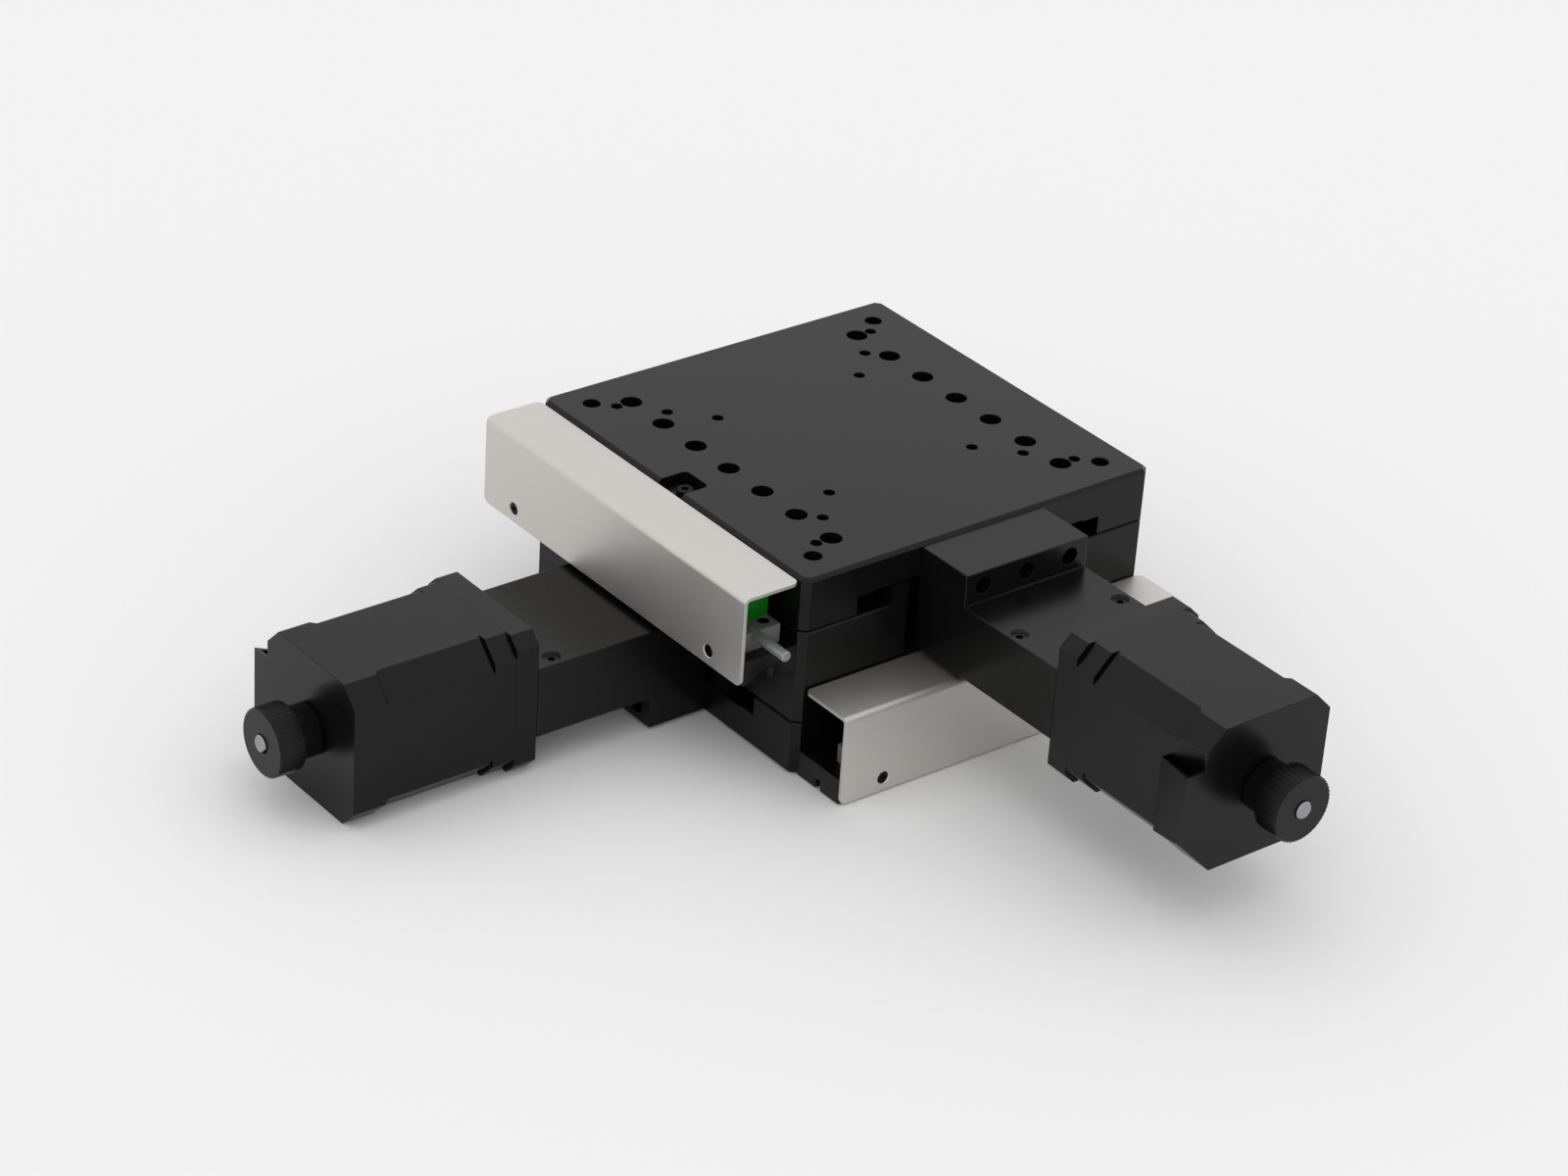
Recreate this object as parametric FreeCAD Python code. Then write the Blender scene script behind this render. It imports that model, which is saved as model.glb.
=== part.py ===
"""Two-axis motorised alignment stage: a base plate, a middle block and a table on crossed-roller guides.

Millimetres. The origin is the centre of the base plate's underside and +Z is up. The middle block travels
along X over the base, and the table travels along Y over the middle block. The lower drive is the upper
drive turned over: half a turn about the line X = Y at half the stage's height puts one onto the other.
"""

import FreeCAD
import Part
import math
import os

from FreeCAD import Vector

# Stage plates
STAGE_SIDE = 120.0
PLATE_THICK = 16.0
BLOCK_THICK = 28.0
SEAM_GAP = 0.4
CORNER_CHAMFER = 2.0
TOP_CHAMFER = 1.0
EDGE_CHAMFER = 0.4
TRAVEL = 15.0

# Crossed-roller guides
RAIL_HEIGHT = 6.0
RAIL_PAIR_WIDTH = 12.0
RAIL_LENGTH = 105.0
RAIL_OUTER_X = 42.0
RAIL_FACE_GAP = 0.6
RAIL_RELIEF = 0.4
ROLLER_DIAMETER = 2.0
ROLLER_LENGTH = 1.9
ROLLER_PLAY = 0.01
ROLLER_COUNT = 7
ROLLER_PITCH = 12.0
ROLLER_SIDES = 8
CAGE_THICK = 0.3
CAGE_HEIGHT = 4.2
CAGE_MARGIN = 4.0
WINDOW_PLAY = 0.05
RAIL_SCREW_X = 40.0
RAIL_SCREW_PITCH = 15.0
RAIL_SCREW_COUNT = 7

# Socket screws: M3 and M2.5
M3_SHANK = 3.0
M3_HEAD = 5.5
M3_HEAD_HEIGHT = 3.0
M3_COUNTERBORE = 6.5
M25_SHANK = 2.5
M25_HEAD = 4.5
M25_HEAD_HEIGHT = 2.5
M25_COUNTERBORE = 5.0
SCREW_PLAY = 0.05
RAIL_HEAD_RECESS = 4.0

# Sides that repeated and inner round pieces are drawn with
SHANK_SIDES = 6
SCREW_SIDES = 8
INNER_SIDES = 12

# Tapped holes in the table and the base
TABLE_M6_PITCH = 100.0
TABLE_M4_PITCH = 90.0
TABLE_INNER_PITCHES = (70.0, 50.0)
M6_TAP = 5.0
M6_DEPTH = 11.0
M4_TAP = 3.3
M4_DEPTH = 8.0

# End pockets of the middle block, which the bracket flanges run into
POCKET_WIDTH = 49.0
POCKET_FLOOR_GAP = 0.8
POCKET_END_PLAY = 0.6

# Drive: lead screw, nut, bearings and coupling
SCREW_HEIGHT = 39.0
SCREW_DIAMETER = 6.0
SCREW_FREE_END = -4.0
JOURNAL_DIAMETER = 5.0
SHAFT_PLAY = 0.05
NUT_BODY = 13.0
NUT_FLANGE = 22.0
NUT_FLANGE_THICK = 4.0
NUT_LENGTH = 22.0
NUT_PLAY = 0.2
NUT_SCREW_CIRCLE = 16.6
NUT_SCREW_SHANK = 2.0
NUT_SCREW_HEAD = 3.8
NUT_SCREW_HEAD_HEIGHT = 2.0
NUT_SCREW_RECESS = 0.3
NUT_SCREW_LENGTH = 6.0
SCREW_CLEARANCE_BORE = 9.0
SCREW_BORE_END = 14.0
BEARING_OUTER = 13.0
BEARING_WIDTH = 4.0
BEARING_COUNT = 2
SHOULDER_BORE = 10.5
LOCK_NUT_DIAMETER = 9.6
LOCK_NUT_WIDTH = 4.0
AXIAL_PLAY = 0.2
CAP_DIAMETER = 18.0
CAP_THICK = 3.5
CAP_BORE = 8.0
CAP_RECESS = 0.5
COUPLING_DIAMETER = 15.0
COUPLING_SETBACK = 5.3
COUPLING_LENGTH = 22.0
COUPLING_SLIT = 0.8
COUPLING_SLIT_OFFSET = 1.5
COUPLING_SHAFT_GAP = 2.0
COUPLING_SPINE = 1.0

# Motor bracket
BRACKET_WIDTH = 42.0
FLANGE_THICK = 18.7
BRACKET_DROP = 10.2
HOUSING_RISE = 10.7
FLANGE_RISE = 9.3
BRACKET_LENGTH = 56.0
COUPLING_BORE = 17.0
FLANGE_SCREW_PITCH = 15.0
FLANGE_SCREW_DROP = 4.5
FLANGE_COUNTERBORE_DEPTH = 11.0
FLANGE_SCREW_LENGTH = 13.0
HOUSING_SCREW_RECESS = 0.5
HOUSING_SCREW_LENGTH = 6.0
TOP_SCREW_X = 17.4
TOP_SCREW_SETBACK = 18.3
BOTTOM_SCREW_X = 17.0
BOTTOM_SCREW_INSET = 6.8

# Motor, 42 mm square
MOTOR_SIDE = 42.0
MOTOR_PLATE_THICK = 7.0
MOTOR_PLATE_CHAMFER = 3.5
END_CAP_CHAMFER = 5.4
FRONT_CAP_LENGTH = 6.8
FRONT_SLIT_WIDTH = 0.9
FRONT_SLIT_DEPTH = 1.2
STATOR_LENGTH = 32.4
STATOR_CHAMFER = 6.9
STATOR_SLIT_WIDTH = 1.2
STATOR_SLIT_DEPTH = 1.6
REAR_CAP_LENGTH = 10.8
REAR_WEDGE = 1.3
PILOT_DIAMETER = 22.0
PILOT_HEIGHT = 2.0
MOTOR_SCREW_PITCH = 31.0
MOTOR_SCREW_LENGTH = 8.0
SHAFT_DIAMETER = 5.0
SHAFT_FRONT_REACH = 20.0
SHAFT_REAR_REACH = 15.4
SHAFT_FLAT = 0.5
SHAFT_FLAT_LENGTH = 13.0
SHAFT_FLAT_ANGLE = 135.0
ROTOR_DIAMETER = 26.0
ROTOR_LENGTH = 28.0
ROTOR_AIR_GAP = 0.3
CONNECTOR_REACH = 6.2
CONNECTOR_LENGTH = 15.8
CONNECTOR_FRONT_TOP = 6.5
CONNECTOR_REAR_TOP = 10.4
CONNECTOR_WALL = 1.0
CONNECTOR_FLOOR = -4.0
CONNECTOR_SLOPE_LENGTH = 10.0
CONNECTOR_RECESS_TOP = 14.8
CONNECTOR_RECESS_DEPTH = 1.6

# Knob on the rear of the motor shaft
KNOB_GAP = 0.4
KNOB_HUB_DIAMETER = 14.6
KNOB_HUB_LENGTH = 6.4
KNOB_DIAMETER = 19.3
KNOB_KNURL_LENGTH = 7.8
KNOB_TEETH = 24
KNOB_TOOTH_DEPTH = 0.5

# Sensor bar, board, sensors and sheet cover
BAR_HEIGHT = 7.4
BAR_FRONT_INSET = 1.8
BAR_REAR_INSET = 0.2
COVER_REACH = 18.4
COVER_BOTTOM = 0.4
COVER_TOP_GAP = 2.0
COVER_BRACKET_GAP = 1.6
COVER_SHEET = 1.0
COVER_BEND = 1.8
COVER_CORNER = 2.0
COVER_STAGE_GAP = 0.6
COVER_SCREW_INSET = 14.2
COVER_SCREW_HEIGHT = 4.4
COVER_SCREW_HEAD = 3.8
COVER_SCREW_SHANK = 2.0
COVER_SCREW_LENGTH = 5.0
BAR_SCREW_INSET = 7.0
BAR_SCREW_RECESS = 0.5
BAR_SCREW_LENGTH = 19.5
BAR_NOTCH_OUT = 8.7
BAR_NOTCH_WIDTH = 2.0
BAR_NOTCH_HEIGHT = 3.0
BAR_NOTCH_LENGTH = 3.0
LOWER_POST_INSET = 5.2
LOWER_POST_LENGTH = 10.0
LOWER_POST_OUT = 9.5
LOWER_POST_DEPTH = 7.0
UPPER_POST_INSET = 3.8
UPPER_POST_LENGTH = 5.5
UPPER_POST_OUT = 3.1
UPPER_POST_DEPTH = 12.0
POST_HEIGHT = 5.5
POST_HOLE = 3.0
POST_HOLE_SETBACK = 3.7
POST_HOLE_SIDE = 2.8
BOARD_THICK = 1.6
BOARD_OUT = 3.1
BOARD_DEPTH = 13.2
UPRIGHT_BOARD_HEIGHT = 16.0
SENSOR_LENGTH = 6.0
SENSOR_DEPTH = 12.0
SENSOR_HEIGHT = 7.6
SENSOR_BASE = 1.8
SENSOR_SLOT = 3.4
SENSOR_CENTRE = 10.0
SENSOR_SPREAD = 19.0
ROD_DIAMETER = 3.0
ROD_LENGTH = 16.0
ROD_PROUD = 9.4
ROD_OUT = 11.0
ROD_RISE = 4.4

# Sensor flags
FLAG_SHEET = 0.8
FLAG_WIDTH = 7.6
FLAG_DROP = 7.0
FLAG_CENTRE = -1.0
FLAG_POCKET_LENGTH = 9.0
FLAG_POCKET_WIDTH = 8.8
FLAG_POCKET_DEPTH = 3.5
FLAG_POCKET_CORNER = 1.6
FLAG_TAB_END = 1.0
FLAG_SCREW_INSET = 4.6
FLAG_SCREW_LENGTH = 6.0
SIDE_TAB_HEIGHT = 7.0
SIDE_SCREW_LENGTH = 8.0
SIDE_TAP_DEPTH = 9.0

# How far a cutter runs past the face it cuts, and how near two lengths are when they are the same
OVERRUN = 1.0
SAME = 1e-6

# Worked out from the sizes above
HALF = STAGE_SIDE / 2
TOTAL_HEIGHT = 2 * PLATE_THICK + BLOCK_THICK
MID_HEIGHT = TOTAL_HEIGHT / 2
BLOCK_TOP = PLATE_THICK + BLOCK_THICK
RAIL_TOP = BLOCK_TOP + RAIL_HEIGHT
RAIL_MIDDLE_Z = BLOCK_TOP + RAIL_HEIGHT / 2
RAIL_INNER_X = RAIL_OUTER_X - RAIL_PAIR_WIDTH
ROLLER_X = RAIL_OUTER_X - RAIL_PAIR_WIDTH / 2
RAIL_WIDTH = (RAIL_PAIR_WIDTH - RAIL_FACE_GAP) / 2
RAISED_TOP = RAIL_TOP - RAIL_RELIEF / 2
BRACKET_BOTTOM = SCREW_HEIGHT - BRACKET_DROP
COVER_TOP = BRACKET_BOTTOM - COVER_TOP_GAP
UPPER_LIFT = TOTAL_HEIGHT - BRACKET_BOTTOM + COVER_BRACKET_GAP - COVER_BOTTOM
HOUSING_TOP = SCREW_HEIGHT + HOUSING_RISE
FLANGE_TOP = HOUSING_TOP + FLANGE_RISE
FLANGE_SCREW_HEIGHT = FLANGE_TOP - FLANGE_SCREW_DROP
POCKET_FLOOR = BRACKET_BOTTOM - POCKET_FLOOR_GAP
POCKET_DEPTH = TRAVEL + POCKET_END_PLAY
NUT_FACE = HALF - POCKET_DEPTH
BEARING_START = HALF + CAP_RECESS + CAP_THICK
BEARING_END = BEARING_START + BEARING_WIDTH * BEARING_COUNT
FLANGE_FACE = HALF + FLANGE_THICK
COUPLING_START = FLANGE_FACE + COUPLING_SETBACK
BRACKET_END = HALF + BRACKET_LENGTH
TOP_SCREW_Y = FLANGE_FACE + TOP_SCREW_SETBACK
BOTTOM_SCREW_Y = BRACKET_END - BOTTOM_SCREW_INSET
FRONT_CAP_START = BRACKET_END + MOTOR_PLATE_THICK
STATOR_START = FRONT_CAP_START + FRONT_CAP_LENGTH
STATOR_END = STATOR_START + STATOR_LENGTH
MOTOR_END = STATOR_END + REAR_CAP_LENGTH
BAR_FRONT = -HALF + BAR_FRONT_INSET
BAR_REAR = HALF - BAR_REAR_INSET
BAR_DEPTH = COVER_REACH - COVER_SHEET
BAR_BASE = COVER_BOTTOM
BAR_TOP = BAR_BASE + BAR_HEIGHT
BAR_CENTRE = (BAR_FRONT + BAR_REAR) / 2
BOARD_BASE = BAR_TOP + POST_HEIGHT
BOARD_TOP = BOARD_BASE + BOARD_THICK
FLAG_FLOOR = TOTAL_HEIGHT - FLAG_POCKET_DEPTH
LOWER_FLAG_TOP = FLAG_FLOOR + FLAG_SHEET - UPPER_LIFT

X_DIR = Vector(1, 0, 0)
Y_DIR = Vector(0, 1, 0)
Z_DIR = Vector(0, 0, 1)


def box(x0, x1, y0, y1, z0, z1):
    """Box between two corners, given as ranges along each axis."""
    return Part.makeBox(x1 - x0, y1 - y0, z1 - z0, Vector(x0, y0, z0))


def rod(diameter, start, direction, length):
    """Cylinder from a start point along a direction."""
    return Part.makeCylinder(diameter / 2, length, start, direction)


def corner_ring(radius, centre, direction, sides):
    """Closed outline with its corners on a circle about an axis, and one flat across the side direction."""
    side = Y_DIR if abs(direction.y) < 0.5 else Z_DIR
    across = direction.cross(side)
    corners = []
    for step in range(sides + 1):
        angle = 2 * math.pi * (step + 0.5) / sides
        corners.append(centre + side * (radius * math.cos(angle)) + across * (radius * math.sin(angle)))
    return Part.makePolygon(corners)


def many_sided(radius, start, direction, length, sides):
    """Prism with corners at one radius about an axis."""
    return Part.Face(corner_ring(radius, start, direction, sides)).extrude(direction * length)


def peg(diameter, start, direction, length, sides):
    """Round piece drawn with few sides: its corners lie on the real circle, so it fits in its hole."""
    return many_sided(diameter / 2, start, direction, length, sides)


def hole(diameter, start, direction, length, sides):
    """Round hole drawn with few sides: its flats lie on the real circle."""
    return many_sided(diameter / 2 / math.cos(math.pi / sides), start, direction, length, sides)


def cone(start_radius, end_radius, start, direction, length):
    """Cone drawn with few sides, for a countersunk head and its seat."""
    wires = [corner_ring(start_radius, start, direction, SCREW_SIDES)]
    wires.append(corner_ring(end_radius, start + direction * length, direction, SCREW_SIDES))
    return Part.makeLoft(wires, True, True)


def chamfer_edges(shape, size, wanted):
    """Chamfer the edges that the wanted function picks."""
    edges = [edge for edge in shape.Edges if wanted(edge)]
    return shape.makeChamfer(size, edges)


def edge_along_z(edge):
    return edge.BoundBox.XLength < SAME and edge.BoundBox.YLength < SAME


def edge_at_height(height):
    """Picks the edges that lie flat at one height."""
    return lambda edge: abs(edge.BoundBox.ZMin - height) < SAME and edge.BoundBox.ZLength < SAME


def stage_plate(z0, z1, top_chamfer):
    """Square plate with chamfered corners, and a chamfer round the top and the bottom."""
    plate = box(-HALF, HALF, -HALF, HALF, z0, z1)
    plate = chamfer_edges(plate, CORNER_CHAMFER, edge_along_z)
    plate = chamfer_edges(plate, top_chamfer, edge_at_height(z1))
    return chamfer_edges(plate, EDGE_CHAMFER, edge_at_height(z0))


def turned_over(shape):
    """Half a turn about the line X = Y at mid height: an upper-drive piece becomes its lower twin."""
    copy = shape.copy()
    copy.rotate(Vector(0, 0, MID_HEIGHT), Vector(1, 1, 0), 180)
    return copy


def turned_motor(shape):
    """Quarter turn about Z and down to the lower screw: an upper motor piece becomes its lower twin."""
    copy = shape.copy()
    copy.rotate(Vector(0, 0, 0), Z_DIR, -90)
    copy.translate(Vector(0, 0, TOTAL_HEIGHT - 2 * SCREW_HEIGHT))
    return copy


def moved_to_upper(shape):
    """A sensor piece of the lower axis, mirrored across X = Y and lifted to the upper axis."""
    copy = shape.mirror(Vector(0, 0, 0), Vector(1, -1, 0))
    copy.translate(Vector(0, 0, UPPER_LIFT))
    return copy


def cap_screw(seat, direction, shank, head, head_height, length):
    """Cap screw: the head's underside sits on the seat point, and the shank follows the direction."""
    body = peg(head - 2 * SCREW_PLAY, seat, direction * -1, head_height, SCREW_SIDES)
    return body.fuse(peg(shank - 2 * SCREW_PLAY, seat, direction, length, SHANK_SIDES))


def m3(seat, direction, length):
    return cap_screw(seat, direction, M3_SHANK, M3_HEAD, M3_HEAD_HEIGHT, length)


def m25(seat, direction, length):
    return cap_screw(seat, direction, M25_SHANK, M25_HEAD, M25_HEAD_HEIGHT, length)


def shank_hole(diameter, start, direction, length):
    return hole(diameter, start, direction, length, SHANK_SIDES)


def head_hole(diameter, start, direction, length):
    return hole(diameter, start, direction, length, SCREW_SIDES)


def screw_row(count, pitch):
    """Places of a row of screws, centred on zero."""
    return [(index - (count - 1) / 2) * pitch for index in range(count)]


def square_places(pitch):
    half = pitch / 2
    return [(x, y) for x in (-half, half) for y in (-half, half)]


# Guides: rails, rollers and cages of the upper axis

def rail_profile(inner):
    """Cross-section of one rail of a pair on the +X side, with its V groove, as a face at the front end."""
    half_v = ROLLER_DIAMETER / 2 * math.sqrt(2)
    mouth = half_v - RAIL_FACE_GAP / 2
    if inner:
        back, face, apex = RAIL_INNER_X, RAIL_INNER_X + RAIL_WIDTH, ROLLER_X - half_v
    else:
        back, face, apex = RAIL_OUTER_X, RAIL_OUTER_X - RAIL_WIDTH, ROLLER_X + half_v
    outline = [(back, BLOCK_TOP), (face, BLOCK_TOP), (face, RAIL_MIDDLE_Z - mouth), (apex, RAIL_MIDDLE_Z)]
    outline += [(face, RAIL_MIDDLE_Z + mouth), (face, RAIL_TOP), (back, RAIL_TOP)]
    points = [Vector(x, -RAIL_LENGTH / 2, z) for x, z in outline]
    return Part.Face(Part.makePolygon(points + points[:1]))


def other_side(shape):
    """The same piece on the far side of the screw, turned half way round about Z."""
    copy = shape.copy()
    copy.rotate(Vector(0, 0, 0), Z_DIR, 180)
    return copy


def outer_rails():
    """Rails under a plate: the plate's screws pull them up against the roof of its channel."""
    rail = rail_profile(inner=False).extrude(Y_DIR * RAIL_LENGTH)
    return Part.makeCompound([rail, other_side(rail)])


def inner_rails():
    rail = rail_profile(inner=True).extrude(Y_DIR * RAIL_LENGTH)
    return [rail, other_side(rail)]


def roller(y, lean):
    """One roller across the V space: lean is +1 or -1, because neighbours are crossed."""
    axis = Vector(lean, 0, 1).normalize()
    start = Vector(ROLLER_X, y, RAIL_MIDDLE_Z) - axis * (ROLLER_LENGTH / 2)
    return hole(ROLLER_DIAMETER - 2 * ROLLER_PLAY, start, axis, ROLLER_LENGTH, ROLLER_SIDES)


def rollers():
    places = screw_row(ROLLER_COUNT, ROLLER_PITCH)
    row = [roller(y, 1 if index % 2 else -1) for index, y in enumerate(places)]
    return Part.makeCompound(row + [other_side(one) for one in row])


def roller_cages():
    """Thin strips between the rails, with a window round each roller."""
    half_length = (ROLLER_COUNT - 1) * ROLLER_PITCH / 2 + CAGE_MARGIN
    half_thick = CAGE_THICK / 2
    low = RAIL_MIDDLE_Z - CAGE_HEIGHT / 2
    high = low + CAGE_HEIGHT
    strip = box(ROLLER_X - half_thick, ROLLER_X + half_thick, -half_length, half_length, low, high)
    corner = ROLLER_DIAMETER / 2 / math.cos(math.pi / ROLLER_SIDES)
    half_width = corner + WINDOW_PLAY
    half_height = corner * math.sqrt(2) + half_thick + WINDOW_PLAY
    z0, z1 = RAIL_MIDDLE_Z - half_height, RAIL_MIDDLE_Z + half_height
    x0, x1 = ROLLER_X - OVERRUN, ROLLER_X + OVERRUN
    windows = [box(x0, x1, y - half_width, y + half_width, z0, z1)
               for y in screw_row(ROLLER_COUNT, ROLLER_PITCH)]
    strip = strip.cut(windows)
    return Part.makeCompound([strip, other_side(strip)])


# Plates

def rail_channel():
    """Space under a plate for the guides: a seat for the outer rails and a little relief between them."""
    reach = HALF + OVERRUN
    low = BLOCK_TOP - OVERRUN
    seat = box(-RAIL_OUTER_X, RAIL_OUTER_X, -reach, reach, low, RAIL_TOP)
    relief_x = RAIL_OUTER_X - RAIL_WIDTH
    relief = box(-relief_x, relief_x, -reach, reach, RAIL_TOP, RAIL_TOP + RAIL_RELIEF)
    return [seat, relief]


def nut_groove():
    """Room over the drive nut's flange along a plate, which the relief takes in while the screw is low."""
    reach = HALF + OVERRUN
    return hole(NUT_FLANGE + 2 * NUT_PLAY, Vector(0, -reach, SCREW_HEIGHT), Y_DIR, 2 * reach, INNER_SIDES)


def rail_screw_seats():
    """Seats of the outer rails' screws, deep in their counterbores."""
    seat = TOTAL_HEIGHT - M3_HEAD_HEIGHT - RAIL_HEAD_RECESS
    row = screw_row(RAIL_SCREW_COUNT, RAIL_SCREW_PITCH)
    return [Vector(side * RAIL_SCREW_X, y, seat) for side in (-1, 1) for y in row]


def rail_screw_holes():
    cutters = []
    for seat in rail_screw_seats():
        start = Vector(seat.x, seat.y, RAIL_TOP - OVERRUN)
        cutters.append(head_hole(M3_COUNTERBORE, seat, Z_DIR, HALF))
        cutters.append(shank_hole(M3_SHANK, start, Z_DIR, PLATE_THICK))
    return cutters


def flange_screw_taps():
    """Tapped holes in the end face of a plate for the bracket's three screws."""
    depth = FLANGE_SCREW_LENGTH - (FLANGE_THICK - FLANGE_COUNTERBORE_DEPTH)
    return [shank_hole(M25_SHANK, Vector(x, -HALF, FLANGE_SCREW_HEIGHT), Y_DIR, depth)
            for x in screw_row(3, FLANGE_SCREW_PITCH)]


def guided_plate():
    """What the table and the base plate share: the plate, its rail channel and its screw holes."""
    plate = stage_plate(BLOCK_TOP + SEAM_GAP / 2, TOTAL_HEIGHT, TOP_CHAMFER)
    cutters = rail_channel() + rail_screw_holes() + flange_screw_taps() + [nut_groove()]
    for x, y in square_places(TABLE_M6_PITCH):
        cutters.append(rod(M6_TAP, Vector(x, y, TOTAL_HEIGHT - M6_DEPTH), Z_DIR, HALF))
    return plate.cut(cutters)


def table_plate():
    plate = guided_plate()
    cutters = []
    for x, y in square_places(TABLE_M4_PITCH):
        cutters.append(rod(M4_TAP, Vector(x, y, TOTAL_HEIGHT - M4_DEPTH), Z_DIR, HALF))
    for pitch in TABLE_INNER_PITCHES:
        for x, y in square_places(pitch):
            cutters.append(head_hole(M4_TAP, Vector(x, y, TOTAL_HEIGHT - M4_DEPTH), Z_DIR, HALF))
    half_width = FLAG_POCKET_WIDTH / 2
    y0, y1 = FLAG_CENTRE - half_width, FLAG_CENTRE + half_width
    x1 = -HALF + FLAG_POCKET_LENGTH
    pocket = box(-HALF - OVERRUN, x1, y0, y1, FLAG_FLOOR, TOTAL_HEIGHT + OVERRUN)
    inner = [edge for edge in pocket.Edges if edge_along_z(edge) and abs(edge.BoundBox.XMin - x1) < SAME]
    cutters.append(pocket.makeFillet(FLAG_POCKET_CORNER, inner))
    tap = Vector(-HALF + FLAG_SCREW_INSET, FLAG_CENTRE, FLAG_FLOOR - FLAG_SCREW_LENGTH)
    cutters.append(shank_hole(M25_SHANK, tap, Z_DIR, FLAG_SCREW_LENGTH))
    return plate.cut(cutters)


def base_plate():
    return turned_over(guided_plate()).cut(bar_taps())


def upper_block_cutters():
    """End pocket, nut seat and screw bore of the upper axis."""
    half_width = POCKET_WIDTH / 2
    reach = HALF + OVERRUN
    pocket = box(-half_width, half_width, -reach, -NUT_FACE, POCKET_FLOOR, TOTAL_HEIGHT)
    centre = Vector(0, -NUT_FACE, SCREW_HEIGHT)
    seat = hole(NUT_FLANGE + 2 * NUT_PLAY, centre, Y_DIR, NUT_FLANGE_THICK, INNER_SIDES)
    bore = hole(NUT_BODY + 2 * NUT_PLAY, centre, Y_DIR, NUT_LENGTH + NUT_PLAY, INNER_SIDES)
    clearance = hole(SCREW_CLEARANCE_BORE, centre, Y_DIR, NUT_FACE + SCREW_BORE_END, INNER_SIDES)
    cutters = [pocket, seat, bore, clearance]
    for seat in nut_screw_seats():
        cutters.append(shank_hole(NUT_SCREW_SHANK, seat, Y_DIR, NUT_SCREW_LENGTH))
    return cutters


def upper_raised_land():
    """Raised centre of the block between the inner rails, with the seats that the rails stand on."""
    low = BLOCK_TOP - OVERRUN
    land = box(-RAIL_INNER_X, RAIL_INNER_X, -HALF, HALF, low, RAISED_TOP)
    seat_x = RAIL_INNER_X + RAIL_WIDTH
    seats = box(-seat_x, seat_x, -RAIL_LENGTH / 2, RAIL_LENGTH / 2, low, BLOCK_TOP)
    return [land, seats]


def middle_block():
    z0, z1 = PLATE_THICK + SEAM_GAP / 2, BLOCK_TOP - SEAM_GAP / 2
    block = stage_plate(z0, z1, EDGE_CHAMFER)
    lands = upper_raised_land()
    block = block.fuse(lands + [turned_over(land) for land in lands])
    cutters = upper_block_cutters()
    cutters += [turned_over(cutter) for cutter in cutters]
    cutters += [moved_to_upper(tap) for tap in bar_taps()]
    seat, direction = side_flag_screw()
    cutters.append(shank_hole(M3_SHANK, seat, direction, SIDE_TAP_DEPTH))
    return block.cut(cutters).removeSplitter()


# Drive

def nut_screw_seats():
    """Seats of the nut's two screws, on both sides of the lead screw, with their heads sunk in the flange."""
    radius = NUT_SCREW_CIRCLE / 2
    seat_y = -NUT_FACE + NUT_SCREW_RECESS + NUT_SCREW_HEAD_HEIGHT
    return [Vector(side * radius, seat_y, SCREW_HEIGHT) for side in (-1, 1)]


def drive_nut():
    start = Vector(0, -NUT_FACE, SCREW_HEIGHT)
    nut = peg(NUT_FLANGE, start, Y_DIR, NUT_FLANGE_THICK, INNER_SIDES)
    nut = nut.fuse(peg(NUT_BODY, start, Y_DIR, NUT_LENGTH, INNER_SIDES))
    cutters = [hole(SCREW_DIAMETER + 2 * SHAFT_PLAY, start, Y_DIR, NUT_LENGTH, INNER_SIDES)]
    for seat in nut_screw_seats():
        cutters.append(shank_hole(NUT_SCREW_SHANK, seat, Y_DIR, NUT_FLANGE_THICK))
        cutters.append(head_hole(NUT_SCREW_HEAD, seat, Y_DIR * -1, NUT_FLANGE_THICK))
    return nut.cut(cutters)


def nut_screws():
    """Screws of the nut, short of its face so that they clear the bracket at the end of the travel."""
    return [cap_screw(seat, Y_DIR, NUT_SCREW_SHANK, NUT_SCREW_HEAD, NUT_SCREW_HEAD_HEIGHT, NUT_SCREW_LENGTH)
            for seat in nut_screw_seats()]


def lead_screw():
    """Threaded length that ends against the bearings, and a journal through them into the coupling."""
    z = SCREW_HEIGHT
    thread_end = BEARING_START - AXIAL_PLAY / 2
    journal_end = COUPLING_START + (COUPLING_LENGTH - COUPLING_SHAFT_GAP) / 2
    thread = rod(SCREW_DIAMETER, Vector(0, -thread_end, z), Y_DIR, thread_end + SCREW_FREE_END)
    return thread.fuse(rod(JOURNAL_DIAMETER, Vector(0, -journal_end, z), Y_DIR, journal_end - thread_end))


def screw_bearings():
    rings = []
    for index in range(BEARING_COUNT):
        end = BEARING_START + BEARING_WIDTH * (index + 1)
        start = Vector(0, -end, SCREW_HEIGHT)
        ring = peg(BEARING_OUTER, start, Y_DIR, BEARING_WIDTH, INNER_SIDES)
        bore = hole(JOURNAL_DIAMETER + 2 * SHAFT_PLAY, start, Y_DIR, BEARING_WIDTH, INNER_SIDES)
        rings.append(ring.cut(bore))
    return Part.makeCompound(rings)


def bearing_cap():
    """Ring in the back of the flange that holds the bearings against their shoulder."""
    start = Vector(0, -BEARING_START, SCREW_HEIGHT)
    cap = peg(CAP_DIAMETER, start, Y_DIR, CAP_THICK, INNER_SIDES)
    return cap.cut(hole(CAP_BORE, start, Y_DIR, CAP_THICK, SCREW_SIDES))


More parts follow.
